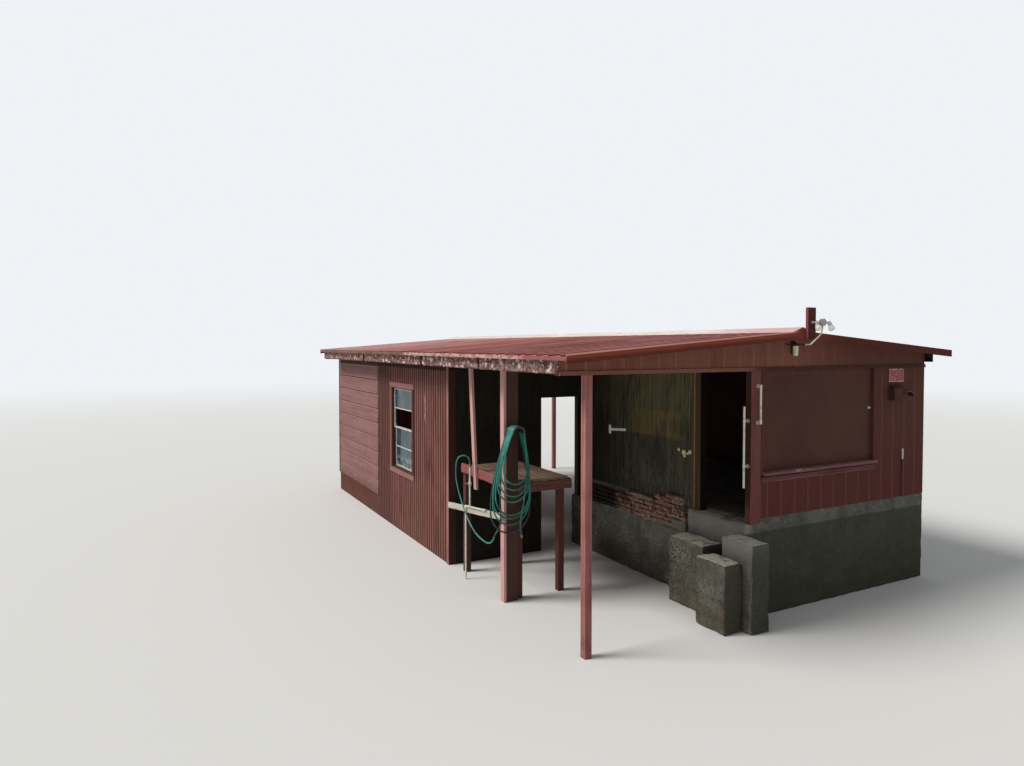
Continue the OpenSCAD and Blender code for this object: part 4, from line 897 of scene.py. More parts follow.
# The long shutter in the gable is a flat painted panel that drops into a lined opening, with a
# catch at its right side and a projecting sill of two boards, which splinter along the front.
shutter_dark = timber_paint("shutter_dark", (84, 54, 47), (94, 63, 56), (71, 44, 38),
                            (0.4, 0.03, 0.5), 0.35, 0.0)
coat(shutter_dark, "shutter_panel", edge=0.002)
frame_red = timber_paint("frame_red", (92, 54, 48), (112, 72, 66), (66, 36, 32), upright, 0.6, 0.0)
coat(frame_red, "shutter_frame", edge=0.002)
pale_steel = Finish("pale_steel", (222, 216, 204), 0.5, 0.05).layers(
    ((168, 158, 144), 0.6, cloud(0.05, 0.48, 0.62)), rust_spots,
    # Painted light: the strap in the bay is made nearly white.
    ((254, 252, 242), 0.8, along("Y", 1.5, 1.8))).relief(0.0003, 0.003, 0.35, 0.65)
shutter_low, shutter_high = plan_box("shutter_panel")
catch = Stock()
catch_at = Vector((shutter_high.x - 0.055, shutter_low.y, shutter_low.z + 0.74))
plate_front = catch_at - Vector((0, 0.003, 0))
catch.board(catch_at + Vector((-0.010, -0.002, -0.022)), catch_at + Vector((0.010, 0, 0.022)), 0.001)
catch.turned(plate_front, FRONT, [
    (0.007, 0), (0.007, 0.010), (0.013, 0.014), (0.015, 0.020), (0.011, 0.026), (0, 0.028)])
for dz in (-0.017, 0.017):
    nail(catch, plate_front + Vector((0, 0, dz)), FRONT)
catch.piece("shutter_catch", pale_steel, "rail_metal")


def weathered_board(stock, low, high, way, cell=0.03, fray=0.004, splits=0.3, seed=0):
    """A board with worn ends and edges, and splits along the axis of its length, numbered 0 to 2."""
    def grain(p):
        across = Vector([p[i] * (1.6 if i == way else 42) for i in range(3)])
        split = max(0.0, noise(across + Vector((0, 0, seed))) - 1 + splits)
        return fray * max(0.0, noise(Vector((p[way] * 2.2, seed, 0)) * 3)) + 0.012 * split
    rough_block(stock, low, high, cell, fray * 1.6, grain, seed)


sill_low, sill_high = plan_box("sill_boards")
tread_z = sill_high.z - 0.045
sill_red = timber_paint("sill_red", (92, 52, 54), (128, 90, 88), (62, 34, 34), (0.5, 0.02, 0.02), 0.8, 0.0)
sill_red.layers(
    # Painted highlight along the top edge of the sill.
    ((150, 108, 108), 0.7, between("Z", sill_high.z - 0.012, sill_high.z + 0.1, 0.004),
     cloud((0.2, 0.2, 0.02), 0.34, 0.5)),
    # Painted light: the front of the upper board is paler.
    ((136, 92, 94), 0.5, along("Z", tread_z + 0.004, tread_z + 0.012)),
    # Painted shade in the gap under the upper board.
    ((30, 16, 16), 0.9, between("Z", tread_z - 0.022, tread_z + 0.003, 0.003)),
    # Painted highlight along the lower edge of the lower board.
    ((128, 84, 86), 0.6, between("Z", sill_low.z + 0.004, sill_low.z + 0.018, 0.004)),
    ((180, 144, 140), 0.7, between("X", 3.20, 3.50, 0.10), along("Z", tread_z, tread_z + 0.01),
     cloud((0.12, 0.12, 0.03), 0.50, 0.56, 7)))
sills = Stock()
seam_x = sill_low.x + 0.82
for seed, (low, high, cell, fray, splits) in enumerate((
        ((sill_low.x, sill_low.y, tread_z), (seam_x, sill_high.y, sill_high.z), 0.012, 0.006, 0.55),
        ((seam_x + 0.004, sill_low.y, tread_z), sill_high, 0.014, 0.004, 0.45),
        ((sill_low.x, -0.019, sill_low.z), (sill_high.x, -0.0005, tread_z), 0.014, 0.003, 0.4)), 1):
    weathered_board(sills, low, high, 0, cell, fray, splits, seed)
sills.piece("splintered_sill", sill_red, "light_trim", ["sill_boards"])


# The side of the raised room that faces the bay is bare grooved plywood, brown with age and
# streaked green. It carries a strap of pale steel, and dry mud nests beside the door jamb.
sheet_seams = [((26, 22, 18), 0.9, between("Y", y - 0.004, y + 0.004, 0.002)) for y in (1.93, 2.63, 3.02)]
bare_ply = Finish("bare_plywood", (92, 86, 68), 0.9).layers(
    ((60, 56, 46), 0.8, cloud((0.05, 0.035, 0.9), 0.40, 0.62)),
    ((124, 118, 98), 0.6, cloud((0.05, 0.02, 0.35), 0.46, 0.64, 3)),
    ((44, 42, 34), 0.7, cloud((0.08, 0.12, 0.6), 0.50, 0.62, 13)),
    ((98, 100, 66), 0.7, along("Z", 2.15, 2.6), cloud((0.1, 0.05, 0.5), 0.38, 0.6, 6)),
    ((62, 60, 53), 0.45, along("Z", 2.15, 2.12)),
    ((120, 104, 62), 0.6, between("Z", 2.12, 2.50, 0.03), between("Y", 1.33, 2.43, 0.03),
     cloud((0.1, 0.5, 0.5), 0.20, 0.55, 8, 2)),
    ((66, 64, 56), 0.75, along("Z", 1.7, 1.25), cloud((0.1, 0.08, 0.4), 0.3, 0.6, 2)),
    ((118, 116, 104), 0.5, along("Z", 1.9, 1.4), cloud((0.1, 0.025, 0.12), 0.54, 0.62, 22)),
    *sheet_seams,
    # Painted shade, growing towards the back of the bay.
    ((30, 27, 22), 0.9, along("Y", 1.9, 3.7)),
).relief(0.0012, (0.02, 0.006, 0.3))
coat(bare_ply, "partition_wall", "bay_back_wall", "bay_back_header")
jamb_paint = timber_paint("jamb_paint", (80, 60, 45), (98, 78, 60), (52, 38, 28), upright, 0.5, 0.4).layers(
    ((82, 78, 58), 0.85, along("Y", 0.985, 1.0)),
    # Painted shade on the faces of the jambs towards the gable.
    ((20, 14, 11), 0.95, facing("Y", -0.3, -0.7)))
coat(jamb_paint, "door_jambs", edge=0.002)
stop_wood = timber_paint("stop_wood", (132, 108, 78), (156, 132, 98), (88, 68, 50), upright, 0.6, 0.3)
stop = Stock()
stop.board((partition_low.x - 0.020, partition_low.y - 0.066, sill_z),
           (partition_low.x + 0.001, partition_low.y - 0.040, partition_high.z))
stop.piece("jamb_stop", stop_wood, "grey_timber")

strap, arm = Stock(), Stock()
ply_x = partition_low.x
arm_l, arm_fall, strap_t = 0.400, 0.085, 0.007
hinge_y, strap_y, arm_z = 2.97, 2.57, 2.099
arm.board((-0.005, -arm_l, -0.020), (0, 0, 0.020), 0.001)
strap.add(arm.verts, arm.faces,
          Matrix.Translation((ply_x, hinge_y, arm_z)) @ Matrix.Rotation(-arm_fall, 4, "X"))
strap.board((ply_x - strap_t, hinge_y, arm_z - 0.069), (ply_x, hinge_y + 0.052, arm_z + 0.071), 0.001)
strap.turned((ply_x - strap_t, hinge_y, arm_z - 0.064), (0, 0, 1), [(0.007, 0), (0.007, 0.13)], 12)
for dy in (0.04, 0.16, 0.30, 0.425):
    nail(strap, (ply_x - 0.006, strap_y + dy, arm_z + arm_fall * max(arm_l - dy, 0)), LEFT, 0.006)
strap.piece("steel_strap", pale_steel, "rail_metal")

dry_mud = Finish("dry_mud", (234, 230, 186), 0.95).layers(
    ((186, 180, 128), 0.8, cloud(0.015, 0.42, 0.6))).relief(0.002, 0.004)
nests = Stock()
for y, z, size in ((1.335, 1.985, 0.026), (1.232, 1.955, 0.040), (1.215, 1.912, 0.026),
                   (1.105, 1.975, 0.032), (1.150, 1.948, 0.020)):
    nests.turned((ply_x + 0.002, y, z), LEFT, [
        (size, 0), (size * 0.96, 0.006), (size * 0.78, 0.014), (size * 0.45, 0.020), (size * 0.28, 0.018),
        (0, 0.012)], 20)
nests.piece("mud_nests", dry_mud, "bare_plywood")


# A workbench fills the side of the bay behind the hose: loose planks on a frame of red boards,
# with an apron on three sides, on four square legs.
bench_low, bench_high = plan_box("workbench")
post_far_y, post_width = 2.057, 0.220
bench_z, plank_t, apron_h = 1.630, 0.038, 0.140
plank_grey = timber_paint("plank_grey", (100, 82, 68), (150, 132, 112), (58, 44, 36),
                          (0.05, 0.5, 0.03), 0.9, 0.0)
planks = Stock()
plank_x = bench_low.x
for number, width in enumerate((0.182, 0.140, 0.184, 0.140, 0.184, 0.140)):
    x1 = min(plank_x + width, bench_high.x)
    near = post_far_y if plank_x < post_width - 0.01 else bench_low.y
    weathered_board(planks, (plank_x, near + 0.002 * (number % 3), bench_z - plank_t),
                    (x1, bench_high.y - 0.003 * (number % 2), bench_z), 1, 0.03, 0.003, 0.3, 60 + number)
    plank_x = x1 + 0.004
    if plank_x > bench_high.x - 0.03:
        break
planks.piece("bench_planks", plank_grey, "post_paint", ["workbench"])
bench_red = timber_paint("bench_red", (86, 52, 48), (124, 88, 80), (54, 32, 28), (0.5, 0.5, 0.02), 0.8, 0.0)
# Painted sunlight on the apron at the open side of the bay.
bench_red.layers(((148, 86, 85), 0.75, along("X", 0.30, 0.10)))
apron_top = bench_z - plank_t
apron_foot = apron_top - apron_h
# Both corners of each board, the axis that it runs along and the size of its cells
apron_boards = (
    ((post_width, bench_low.y, apron_foot), (bench_high.x, bench_low.y + plank_t, apron_top), 0, 0.025),
    ((bench_high.x - plank_t, bench_low.y + plank_t, apron_foot), (bench_high.x, bench_high.y, apron_top),
     1, 0.03),
    ((bench_low.x, post_far_y, bench_high.z - apron_h), (bench_low.x + plank_t, bench_high.y, bench_high.z),
     1, 0.03))
aprons = Stock()
for seed, (low, high, way, cell) in enumerate(apron_boards, 71):
    weathered_board(aprons, low, high, way, cell, seed=seed)
aprons.piece("bench_aprons", bench_red, "post_paint")


# A weathered rail runs from the built-up post to the ribbed wall, with a thin old coat of
# grey-green stain. White plastic pipes are clipped along it and rise to the tap.
rail_low, rail_high = plan_box("rail_board")
rail_grey = timber_paint("rail_grey", (176, 170, 154), (210, 204, 190), (116, 110, 96),
                         (0.02, 0.5, 0.02), 0.9, 0.0)
rail_h = 0.100
rail_slope = -(rail_high.z - rail_low.z - rail_h) / (rail_high.y - rail_low.y)
rail_stock = Stock()
weathered_board(rail_stock, (rail_low.x, rail_low.y, rail_high.z - rail_h), rail_high, 1,
                0.02, 0.005, 0.5, 81)
for v in rail_stock.verts:
    v.z += rail_slope * (v.y - rail_low.y)
rail_stock.piece("weathered_rail", rail_grey, "grey_timber", ["rail_board"])

pipe_white = Finish("pipe_white", (206, 206, 198), 0.42).layers(
    ((168, 166, 152), 0.7, cloud((0.05, 0.05, 0.12), 0.48, 0.64)),
    ((120, 112, 96), 0.6, cloud(0.012, 0.60, 0.68, 3))).relief(0.0002, 0.004)
pipes = Stock()
UP = (0, 0, 1)
pipe_r, clip_t, clip_w = 0.0135, 0.003, 0.014
pipe_x = rail_low.x - pipe_r
riser_y, supply_y, run_end_y = 2.930, 3.077, 2.400
riser_top, valve_z = 1.690, 1.420


def rail_top(y):
    return rail_high.z + rail_slope * (y - rail_low.y)


def standpipe(stock, x, y, heights, radius, sides):
    """A pipe that stands up through some heights."""
    stock.rod([(x, y, z) for z in heights], radius, sides)


standpipe(pipes, pipe_x, supply_y, (0, 0.5, rail_top(supply_y)), pipe_r, 20)
pipes.rod([(pipe_x, y, rail_top(y)) for y in (supply_y, run_end_y)], pipe_r, 20)
standpipe(pipes, pipe_x, riser_y, (rail_top(riser_y), 1.4, riser_top), pipe_r, 20)
along_rail = Vector((0, 1, rail_slope)).normalized()
collar_r = pipe_r + 0.004
for y, up, way, length in ((supply_y, -0.022, UP, 0.036), (supply_y - 0.022, 0, along_rail, 0.036),
                           (riser_y, 0.024, UP, 0.036), (riser_y, 0, along_rail, 0.060),
                           (run_end_y + 0.012, 0, along_rail, 0.030)):
    pipes.turned(Vector((pipe_x, y, rail_top(y) + up)) - Vector(way) * length / 2, way, [
        (pipe_r, 0), (collar_r - 0.001, 0), (collar_r, 0.001), (collar_r, length - 0.001),
        (collar_r - 0.001, length), (pipe_r, length)])
pipes.turned((pipe_x, riser_y, valve_z), UP, [
    (0.016, 0), (0.021, 0.003), (0.021, 0.014), (0.019, 0.016), (0.023, 0.022), (0.023, 0.040),
    (0.019, 0.046), (0.021, 0.048), (0.021, 0.057), (0.016, 0.060)])
pipes.turned((pipe_x, riser_y, valve_z + 0.030), LEFT, [
    (0.008, 0.015), (0.008, 0.034), (0.005, 0.036), (0.005, 0.042)], 16)
pipe_face = pipe_x - pipe_r
for y in (run_end_y + 0.054, riser_y - 0.081):
    clip_foot, clip_top = rail_top(y) - 2 * pipe_r, rail_top(y) + pipe_r
    pipes.board((pipe_face - clip_t, y, clip_foot), (pipe_face, y + clip_w, clip_top + clip_t), 0.0008)
    pipes.board((pipe_face, y, clip_top), (pipe_x + pipe_r, y + clip_w, clip_top + clip_t), 0.0008)
wall_pipe = plan_box("water_pipes")[1]
wall_pipe_x, wall_pipe_y, wall_pipe_z = wall_pipe.x - 0.022, -0.011, wall_pipe.z
standpipe(pipes, wall_pipe_x, wall_pipe_y, [wall_pipe_z - down for down in (0.15, 0.1, 0.012)], pipe_r, 20)
pipes.turned((wall_pipe_x, wall_pipe_y, wall_pipe_z - 0.014), UP, [
    (0.017, 0), (0.017, 0.010), (0.013, 0.014), (0.012, 0.014)])
pipes.piece("white_pipes", pipe_white, "white_pipe", ["water_pipes"])
lever_red = Finish("lever_red", (150, 52, 44), 0.4).layers(
    ((112, 44, 38), 0.7, cloud(0.02))).relief(0.0002, 0.004)
lever = Stock()
lever.board((pipe_x - 0.048, riser_y - 0.012, valve_z + 0.022),
            (pipe_x - 0.042, riser_y + 0.068, valve_z + 0.038))
lever.piece("valve_lever", lever_red, "red_enamel")
dark_pipe = Finish("dark_pipe", (74, 44, 42), 0.6).layers(
    ((52, 34, 32), 0.7, cloud(0.05))).relief(0.0004, 0.006)
riser = Stock()
standpipe(riser, wall_pipe_x, wall_pipe_y, (wall_low.z, 1.5, wall_pipe_z - 0.14), 0.009, 16)
for z in (wall_low.z + 0.08, wall_pipe_z - 0.19):
    riser.board((wall_pipe_x - 0.022, -0.024, z), (wall_pipe_x + 0.022, 0, z + clip_w), 0.001)
riser.piece("wall_pipe_foot", dark_pipe, "red_enamel")


# Two grab rails of pale pipe stand beside the raised doorway: a long one on the side of the
# pilaster and a short one on its face, each on two flanged brackets.
grab_low, grab_high = plan_box("handrails")
grab = Stock()
grab_r, stay_r = 0.0135, 0.009
long_x, long_y, long_z, long_top = pilaster_low.x - 0.066, 0.0495, grab_low.z, 2.700
short_x, short_y, short_z, short_top = grab_high.x - grab_r, -0.050, 2.470, grab_high.z
for at, wall, way, heights, stays, flange_r in (
        ((long_x, long_y), (pilaster_low.x, long_y), LEFT, (long_z + 0.002, 2.2, long_top - 0.002),
         (long_z + 0.277, long_top - 0.185), 0.030),
        ((short_x, short_y), (short_x, 0), FRONT, (short_z + 0.002, 2.7, short_top - 0.002),
         (short_z + 0.020, short_top - 0.020), 0.028)):
    standpipe(grab, *at, heights, grab_r, 24)
    for z in stays:
        foot = Vector((*wall, z))
        grab.rod([(*at, z), foot + Vector(way) * 0.004], stay_r, 16)
        grab.turned(foot, way, [(flange_r, 0), (flange_r, 0.004), (0.016, 0.008), (0.012, 0.020)])
        grab.turned((*at, z - 0.018), UP, [(0.0140, 0), (0.0175, 0.003), (0.0175, 0.033), (0.0140, 0.036)])
pale_steel.layers(
    # Painted shade on the flanges against the side of the pilaster and against the gable.
    ((112, 102, 94), 0.75, between("X", pilaster_low.x - 0.022, pilaster_low.x + 0.002, 0.001),
     along("Y", 0.5, 0.4)),
    ((126, 116, 108), 0.6, between("Y", -0.022, 0.002, 0.001)))
grab.piece("grab_rails", pale_steel, "rail_metal", ["handrails"])


# The roof is ribbed steel sheet under chalky red paint. Hex screws with washers hold each rib
# to the purlins, and a folded cap that the sun has bleached covers the ridge.
cap_low, cap_high = plan_box("ridge_cap")
sheets_low, sheets_high = plan_box("roof_sheets_left")
ridge_x = (cap_low.x + cap_high.x) / 2
rib_top = sheets_high.z
slope, rib_step = 0.079, 0.250
near_side = facing("Y", -0.25, -0.6)
rib_line = ("Y", -0.220, rib_step)
roof_red = Finish("roof_red_chalk_and_painted_light", (186, 98, 91), 0.55).layers(
    # The long pale and dark streaks are partly chalking and partly painted highlight and shade along the
    # ribs.
    ((232, 156, 147), 0.85, cloud((5.0, 0.55, 0.3), 0.46, 0.56)),
    ((100, 40, 37), 0.85, cloud((4.0, 0.34, 0.3), 0.50, 0.58, 3)),
    ((118, 52, 48), 0.5, cloud((3.0, 1.2, 0.3), 0.50, 0.60, 13)),
    # Painted reflection: the far part of the roof is paler.
    ((252, 212, 205), 0.9, cloud((2.4, 0.45, 0.3), 0.28, 0.46, 6), along("Y", 3, 9)),
    # Painted shade on the sides of the ribs that face the gable.
    ((150, 68, 63), 0.4, near_side),
    # Painted shade at the foot of each rib.
    ((70, 34, 30), 0.8, repeated(*rib_line, 0.020, 0.027), repeated(*rib_line, 0.048, 0.036)),
    # The pale crests are partly bleached paint and partly painted highlight.
    ((220, 158, 150), 0.75, repeated(*rib_line, 0.022, 0.014), cloud((1.2, 0.3, 0.3), 0.34, 0.5, 4)),
    # More painted shade on the rib sides towards the gable end.
    ((96, 38, 36), 0.45, along("Y", 5.0, 1.0), near_side),
    ((92, 56, 44), 0.6, cloud(0.02, 0.62, 0.68, 9)),
).gloss(0.40, 0.62, cloud((0.6, 0.06, 0.3), 0.38, 0.66, 2)).relief(0.0001, 0.004)
roof_red.sockets["Specular IOR Level"].default_value = 0.22
coat(roof_red, "roof_sheets_left", "roof_sheets_right")


def below_roof(low, high):
    """A step in the depth under the line of the roof, left of the ridge."""
    def mask(finish):
        fall = finish.math("MULTIPLY", finish.math("SUBTRACT", corner.x + ridge_x, finish.axis("X")), slope)
        depth = finish.math("SUBTRACT", finish.math("SUBTRACT", rib_top, finish.axis("Z")), fall)
        return finish.step(depth, low, high)
    return mask


left_rake = along("X", 3.0, 2.8)
rake_red = Finish("rake_red", (112, 54, 42), 0.72).layers(
    ((130, 66, 52), 0.6, cloud((0.6, 0.6, 0.04), 0.42, 0.62)),
    ((80, 36, 28), 0.6, cloud((0.05, 0.05, 0.1), 0.52, 0.68, 3)),
    ((70, 28, 22), 0.8, along("X", 3.2, 3.8)),
    # Painted highlight on the top faces of the left rake.
    ((222, 176, 168), 0.85, facing("Z"), along("X", 3.1, 2.9)),
    ((142, 68, 52), 0.75, below_roof(0.052, 0.034), left_rake),
    ((84, 38, 28), 0.6, below_roof(0.052, 0.066), left_rake),
    # Painted highlight: a pale line along the top edge of the left rake.
    ((222, 170, 156), 0.8, below_roof(0.013, 0.008), left_rake),
).relief(0.001, (0.2, 0.2, 0.03))
coat(rake_red, "rake_trims", edge=0.0015)
eave_pink = Finish("eave_pink", (144, 90, 88), 0.72).layers(
    ((184, 142, 138), 0.85, between("Y", 1.03, 4.67, 0.30)),
    ((208, 176, 172), 0.65, cloud((0.2, 0.22, 0.05), 0.50, 0.56, 2), between("Y", 0.6, 4.60, 0.15)),
    # Painted shadows of the ribs on the near part of the trim.
    ((136, 78, 76), 0.8, cloud((0.2, 0.10, 0.05), 0.54, 0.58, 12), along("Y", 4.60, 4.50)),
    ((128, 96, 88), 0.85, along("Y", 4.60, 4.74)),
    # Painted shadows of the ribs on the far part of the trim.
    ((92, 64, 54), 0.85, cloud((0.06, 0.12, 0.03), 0.46, 0.54, 7), along("Y", 4.60, 4.74)),
    ((82, 52, 44), 0.8, cloud((0.02, 0.04, 0.02), 0.58, 0.64, 5)),
).relief(0.0008, 0.03)
coat(eave_pink, "eave_trims", edge=0.0015)

sheet_l = sheets_high.y - sheets_low.y
rib_count = math.floor((sheet_l - 0.062) / rib_step)
rib_start = sheets_low.y + (sheet_l - rib_count * rib_step) / 2
rib_h, purlin_w = 0.019, 0.089
screws = Stock()
chance = random.Random(9)
lines = [start + i * (end - purlin_w - start) / 3
         for start, end in ((header_low.x, ridge_x), (ridge_x, header_high.x)) for i in range(4)]
for line, i in itertools.product(lines, range(rib_count + 1)):
    x = line + purlin_w / 2 + chance.uniform(-0.008, 0.008)
    y = rib_start + i * rib_step + 0.052 + chance.uniform(-0.006, 0.006)
    upward = (math.copysign(slope, x - ridge_x), 0, 1)
    screws.turned((x, y, rib_top - slope * abs(x - ridge_x) - rib_h), upward, [
        (0.0085, -0.001), (0.0085, 0.0012), (0.0055, 0.0016), (0.0052, 0.006), (0.0030, 0.0068)], 6)
zinc = Finish("dull_zinc", (150, 128, 122), 0.5, 0.6).layers(
    ((118, 78, 62), 0.8, cloud(0.03))).relief(0.0002, 0.004)
screws.piece("roof_screws", zinc, "roof_paint")

cap_pale = Finish("bleached_cap", (216, 196, 190), 0.42, 0.1).layers(
    ((236, 222, 216), 0.7, cloud((0.1, 0.8, 0.1), 0.42, 0.62)),
    ((176, 136, 128), 0.7, cloud((0.06, 0.3, 0.06), 0.56, 0.68, 4)),
    ((190, 132, 130), 0.7, along("Y", 1.6, 0.2))).relief(0.0008, (0.05, 0.4, 0.05))
cap = Stock()
half_cap, tin_t, hem = (cap_high.x - cap_low.x) / 2, 0.0012, 0.030
cap_rise = cap_high.z - rib_top - 0.0015
cap_side = [(half_cap, -0.006), (half_cap, 0.0005), (half_cap - 0.004, 0.0012), (half_cap - hem, 0.0012),
            (0.010, cap_rise - 0.003), (0.004, cap_rise - 0.0006)]
cap_line = [(-x, z) for x, z in cap_side] + [(0, cap_rise)] + cap_side[::-1]
cap_ends = [cap_low.y, cap_low.y + 3.02, cap_low.y + 6.06, cap_low.y + 9.10, cap_high.y]
for number, (y0, y1) in enumerate(zip(cap_ends, cap_ends[1:])):
    lift = 0.0005 * (number % 2)
    upper = [(ridge_x + x, rib_top - slope * abs(x) + z + lift) for x, z in cap_line]
    outline = upper + [(x, z - tin_t) for x, z in upper[::-1]]
    cap.sleeve([[(x, y, z) for x, z in outline] for y in (y0, min(y1 + 0.05, cap_high.y))])
cap.piece("folded_ridge_cap", cap_pale, "cap_metal", ["ridge_cap"])


# Fascia boards hang under the edge of the roof. The left ones were painted more than once, and
# grey wood, white primer and red paint all show through the flakes.
fascia_low, fascia_high = plan_box("fascia_boards")
flaking = Finish("flaking_fascia", (146, 116, 110), 0.85).layers(
    ((112, 70, 63), 0.85, cloud((0.1, 0.16, 0.06), 0.46, 0.54)),
    ((84, 60, 52), 0.9, cloud((0.05, 0.06, 0.10), 0.50, 0.55, 3)),
    ((226, 208, 204), 0.9, cloud((0.05, 0.10, 0.07), 0.55, 0.60, 6)),
    ((188, 160, 154), 0.5, cloud((0.05, 0.4, 0.02), 0.50, 0.66, 9)),
    ((64, 44, 38), 0.9, cloud((0.05, 0.02, 0.10), 0.58, 0.63, 11)),
    ((62, 40, 35), 0.6, along("Z", 3.185, 3.160)),
    ((18, 10, 9), 0.95, between("Y", 4.020, 4.085, 0.006)),
    ((18, 10, 9), 0.95, between("Y", 7.200, 7.300, 0.006)),
    # Painted shade on the fascia of the right eave.
    ((26, 14, 13), 0.95, along("X", 5.0, 5.9)),
).relief(0.0012, (0.05, 0.035, 0.08), 0.50, 0.56, 3).relief(
    0.0012, (0.05, 0.06, 0.05), 0.56, 0.61, 6).relief(0.0008, (0.01, 0.2, 0.006))
fascia = Stock()
board_t = 0.038
sheet_t, clear = 0.002, 0.010
drop = (rib_h + sheet_t) * math.sqrt(1 + slope * slope) + clear
ends = (fascia_low.y, 1.92, 4.03, 7.23, fascia_high.y)
for number, (y0, y1) in enumerate(zip(ends, ends[1:])):
    for x0, height, forward in ((fascia_low.x, 0.195, 0), (fascia_high.x - board_t, 0.155, 0.110)):
        away = max(abs(x0 - ridge_x), abs(x0 + board_t - ridge_x))
        top = rib_top - slope * away - drop
        near_end = y0 + 0.045 if number else y0 - forward
        weathered_board(fascia, (x0, near_end, top - height + 0.003), (x0 + board_t, y1, top), 1,
                        0.03, 0.004, 0.25, 90 + number)
fascia.piece("fascia_pieces", flaking, "peeling_fascia", ["fascia_boards"])


# Under the roof the frame is bare softwood gone grey: plates on the walls, a ridge board, rafters
# nailed to both, and flat purlins across them.
grey_wood = timber_paint("grey_softwood", (112, 96, 82), (138, 124, 108), (72, 58, 48),
                         (0.3, 0.3, 0.02), 0.6, 0.0)
coat(grey_wood, "wall_plates", "rafters", "ridge_beam", "purlins", edge=0.003)


# Two floodlights stand on a bar in front of the plank at the peak. Each is a white cast holder
# with a bulbous lens, and a pale conduit bends down and in under the roof, beside a jar lamp.
peak_low = plan_box("peak_post")[0]
lamp_white = Finish("lamp_white", (214, 212, 204), 0.4).layers(
    ((178, 176, 166), 0.6, cloud(0.04, 0.45, 0.62)),
    ((120, 110, 98), 0.6, cloud(0.01, 0.6, 0.68, 3)),
    # Painted shade on the upper parts of the lamps.
    ((136, 142, 146), 0.75, along("Z", rib_top + 0.055, rib_top + 0.085))).relief(0.0003, 0.004)
frosted = Finish("frosted_lens", (250, 250, 244), 0.18).layers(
    ((226, 230, 228), 0.7, cloud(0.03, 0.46, 0.6))).relief(0.0004, 0.006)
bar = Vector((peak_low.x + 0.060, peak_low.y - 0.030, rib_top + 0.110))
bar_l = 0.290
lamps, lenses = Stock(), Stock()
lamps.rod([bar + Vector((dx, 0, 0)) for dx in (0, bar_l / 2, bar_l)], 0.011, 20)
lamps.turned(bar + Vector((0.011, 0.030, 0)), FRONT, [
    (0.020, 0), (0.020, 0.004), (0.011, 0.006), (0.011, 0.030)])
tilt, turn = math.radians(45), math.radians(30)
aim = Vector((-math.cos(tilt) * math.sin(turn), -math.cos(tilt) * math.cos(turn), -math.sin(tilt)))
for dx in (0.050, bar_l):
    pivot = bar + Vector((dx, 0, 0))
    lamps.turned(pivot, aim, [
        (0.016, -0.012), (0.023, -0.006), (0.024, 0.010), (0.024, 0.040), (0.018, 0.046), (0.018, 0.052),
        (0.024, 0.056), (0.030, 0.066), (0.034, 0.084), (0.0375, 0.100), (0.0395, 0.106), (0.0395, 0.116),
        (0.037, 0.117)], 36)
    fin_feet = circle(pivot + aim * 0.058, aim, 0.0245, 10)
    fin_tips = circle(pivot + aim * 0.100, aim, 0.0365, 10)
    for fin in zip(fin_feet, fin_tips):
        lamps.rod(fin, 0.0018, 6)
    lenses.turned(pivot, aim, [
        (0.036, 0.112), (0.036, 0.117), (0.033, 0.122), (0.026, 0.1255), (0.014, 0.1275), (0, 0.128)], 36)
box_at = bar + Vector((0.170, 0.022, 0))
lamps.turned(box_at, FRONT, [(0.046, 0), (0.048, 0.002), (0.048, 0.030), (0.046, 0.032), (0.047, 0.034),
                             (0.047, 0.042), (0.044, 0.044)], 40)
for dx in (-0.036, 0.036):
    nail(lamps, box_at + Vector((dx, -0.044, 0)), FRONT, 0.005)
conduit = through([bar + Vector(p) for p in (
    (0.170, 0, -0.040), (0.155, -0.004, -0.100), (0.120, -0.006, -0.155), (0.048, -0.003, -0.208),
    (-0.024, 0, -0.259), (-0.024, 0.036, -0.277), (-0.024, 0.16, -0.277), (-0.024, -bar.y, -0.277))], 5)
pale_knots, conduit_r = 28, 0.0085
lamps.rod(conduit[:pale_knots + 1], conduit_r, 14)
# The run back under the roof is coloured dark: painted shade under the eave.
shaded_conduit = Stock()
shaded_conduit.rod(conduit[pale_knots:], conduit_r, 14)
shaded_conduit.piece("conduit_in_painted_shade", dark_pipe, "lamp_white")
for knot in (2, pale_knots - 1):
    lamps.turned(conduit[knot], conduit[knot + 1] - conduit[knot], [
        (0.009, 0), (0.011, 0.001), (0.011, 0.020), (0.009, 0.021)], 16)
lenses.piece("lamp_lenses", frosted, "lamp_white")

jar_x, jar_y, jar_z = ridge_x + 0.200, -0.048, rib_top - 0.182
jar_glass = Finish("jar_glass", (232, 224, 184), 0.16).layers(
    ((196, 192, 150), 0.7, cloud(0.05, 0.46, 0.6))).relief(0.0008, (0.006, 0.006, 0.2))
jar = Stock()
jar.turned((jar_x, jar_y, jar_z - 0.133), UP, [(0.012, 0), (0.026, 0.003), (0.032, 0.010), (0.0335, 0.060),
                                               (0.0365, 0.110), (0.037, 0.126), (0.034, 0.131)], 36)
jar.piece("jar_of_the_lamp", jar_glass, "lamp_white")
jar_metal = Finish("jar_metal", (40, 33, 28), 0.5, 0.3).layers(
    ((76, 62, 52), 0.5, cloud(0.02, 0.50, 0.6))).relief(0.0003, 0.004)
holder = Stock()
holder.turned((jar_x, jar_y, jar_z), UP, [(0.040, -0.006), (0.042, -0.004), (0.042, 0.010), (0.036, 0.022),
                                          (0.022, 0.030), (0.012, 0.034)], 36)
holder.rod([(jar_x, jar_y, jar_z + 0.030), (jar_x, jar_y + 0.010, jar_z + 0.042),
            (jar_x, -0.004, jar_z + 0.044)], 0.008, 14)
holder.board((jar_x - 0.042, -0.008, jar_z - 0.100), (jar_x + 0.042, 0, jar_z + 0.060), 0.003)
holder.piece("jar_holder", jar_metal, "lamp_white")
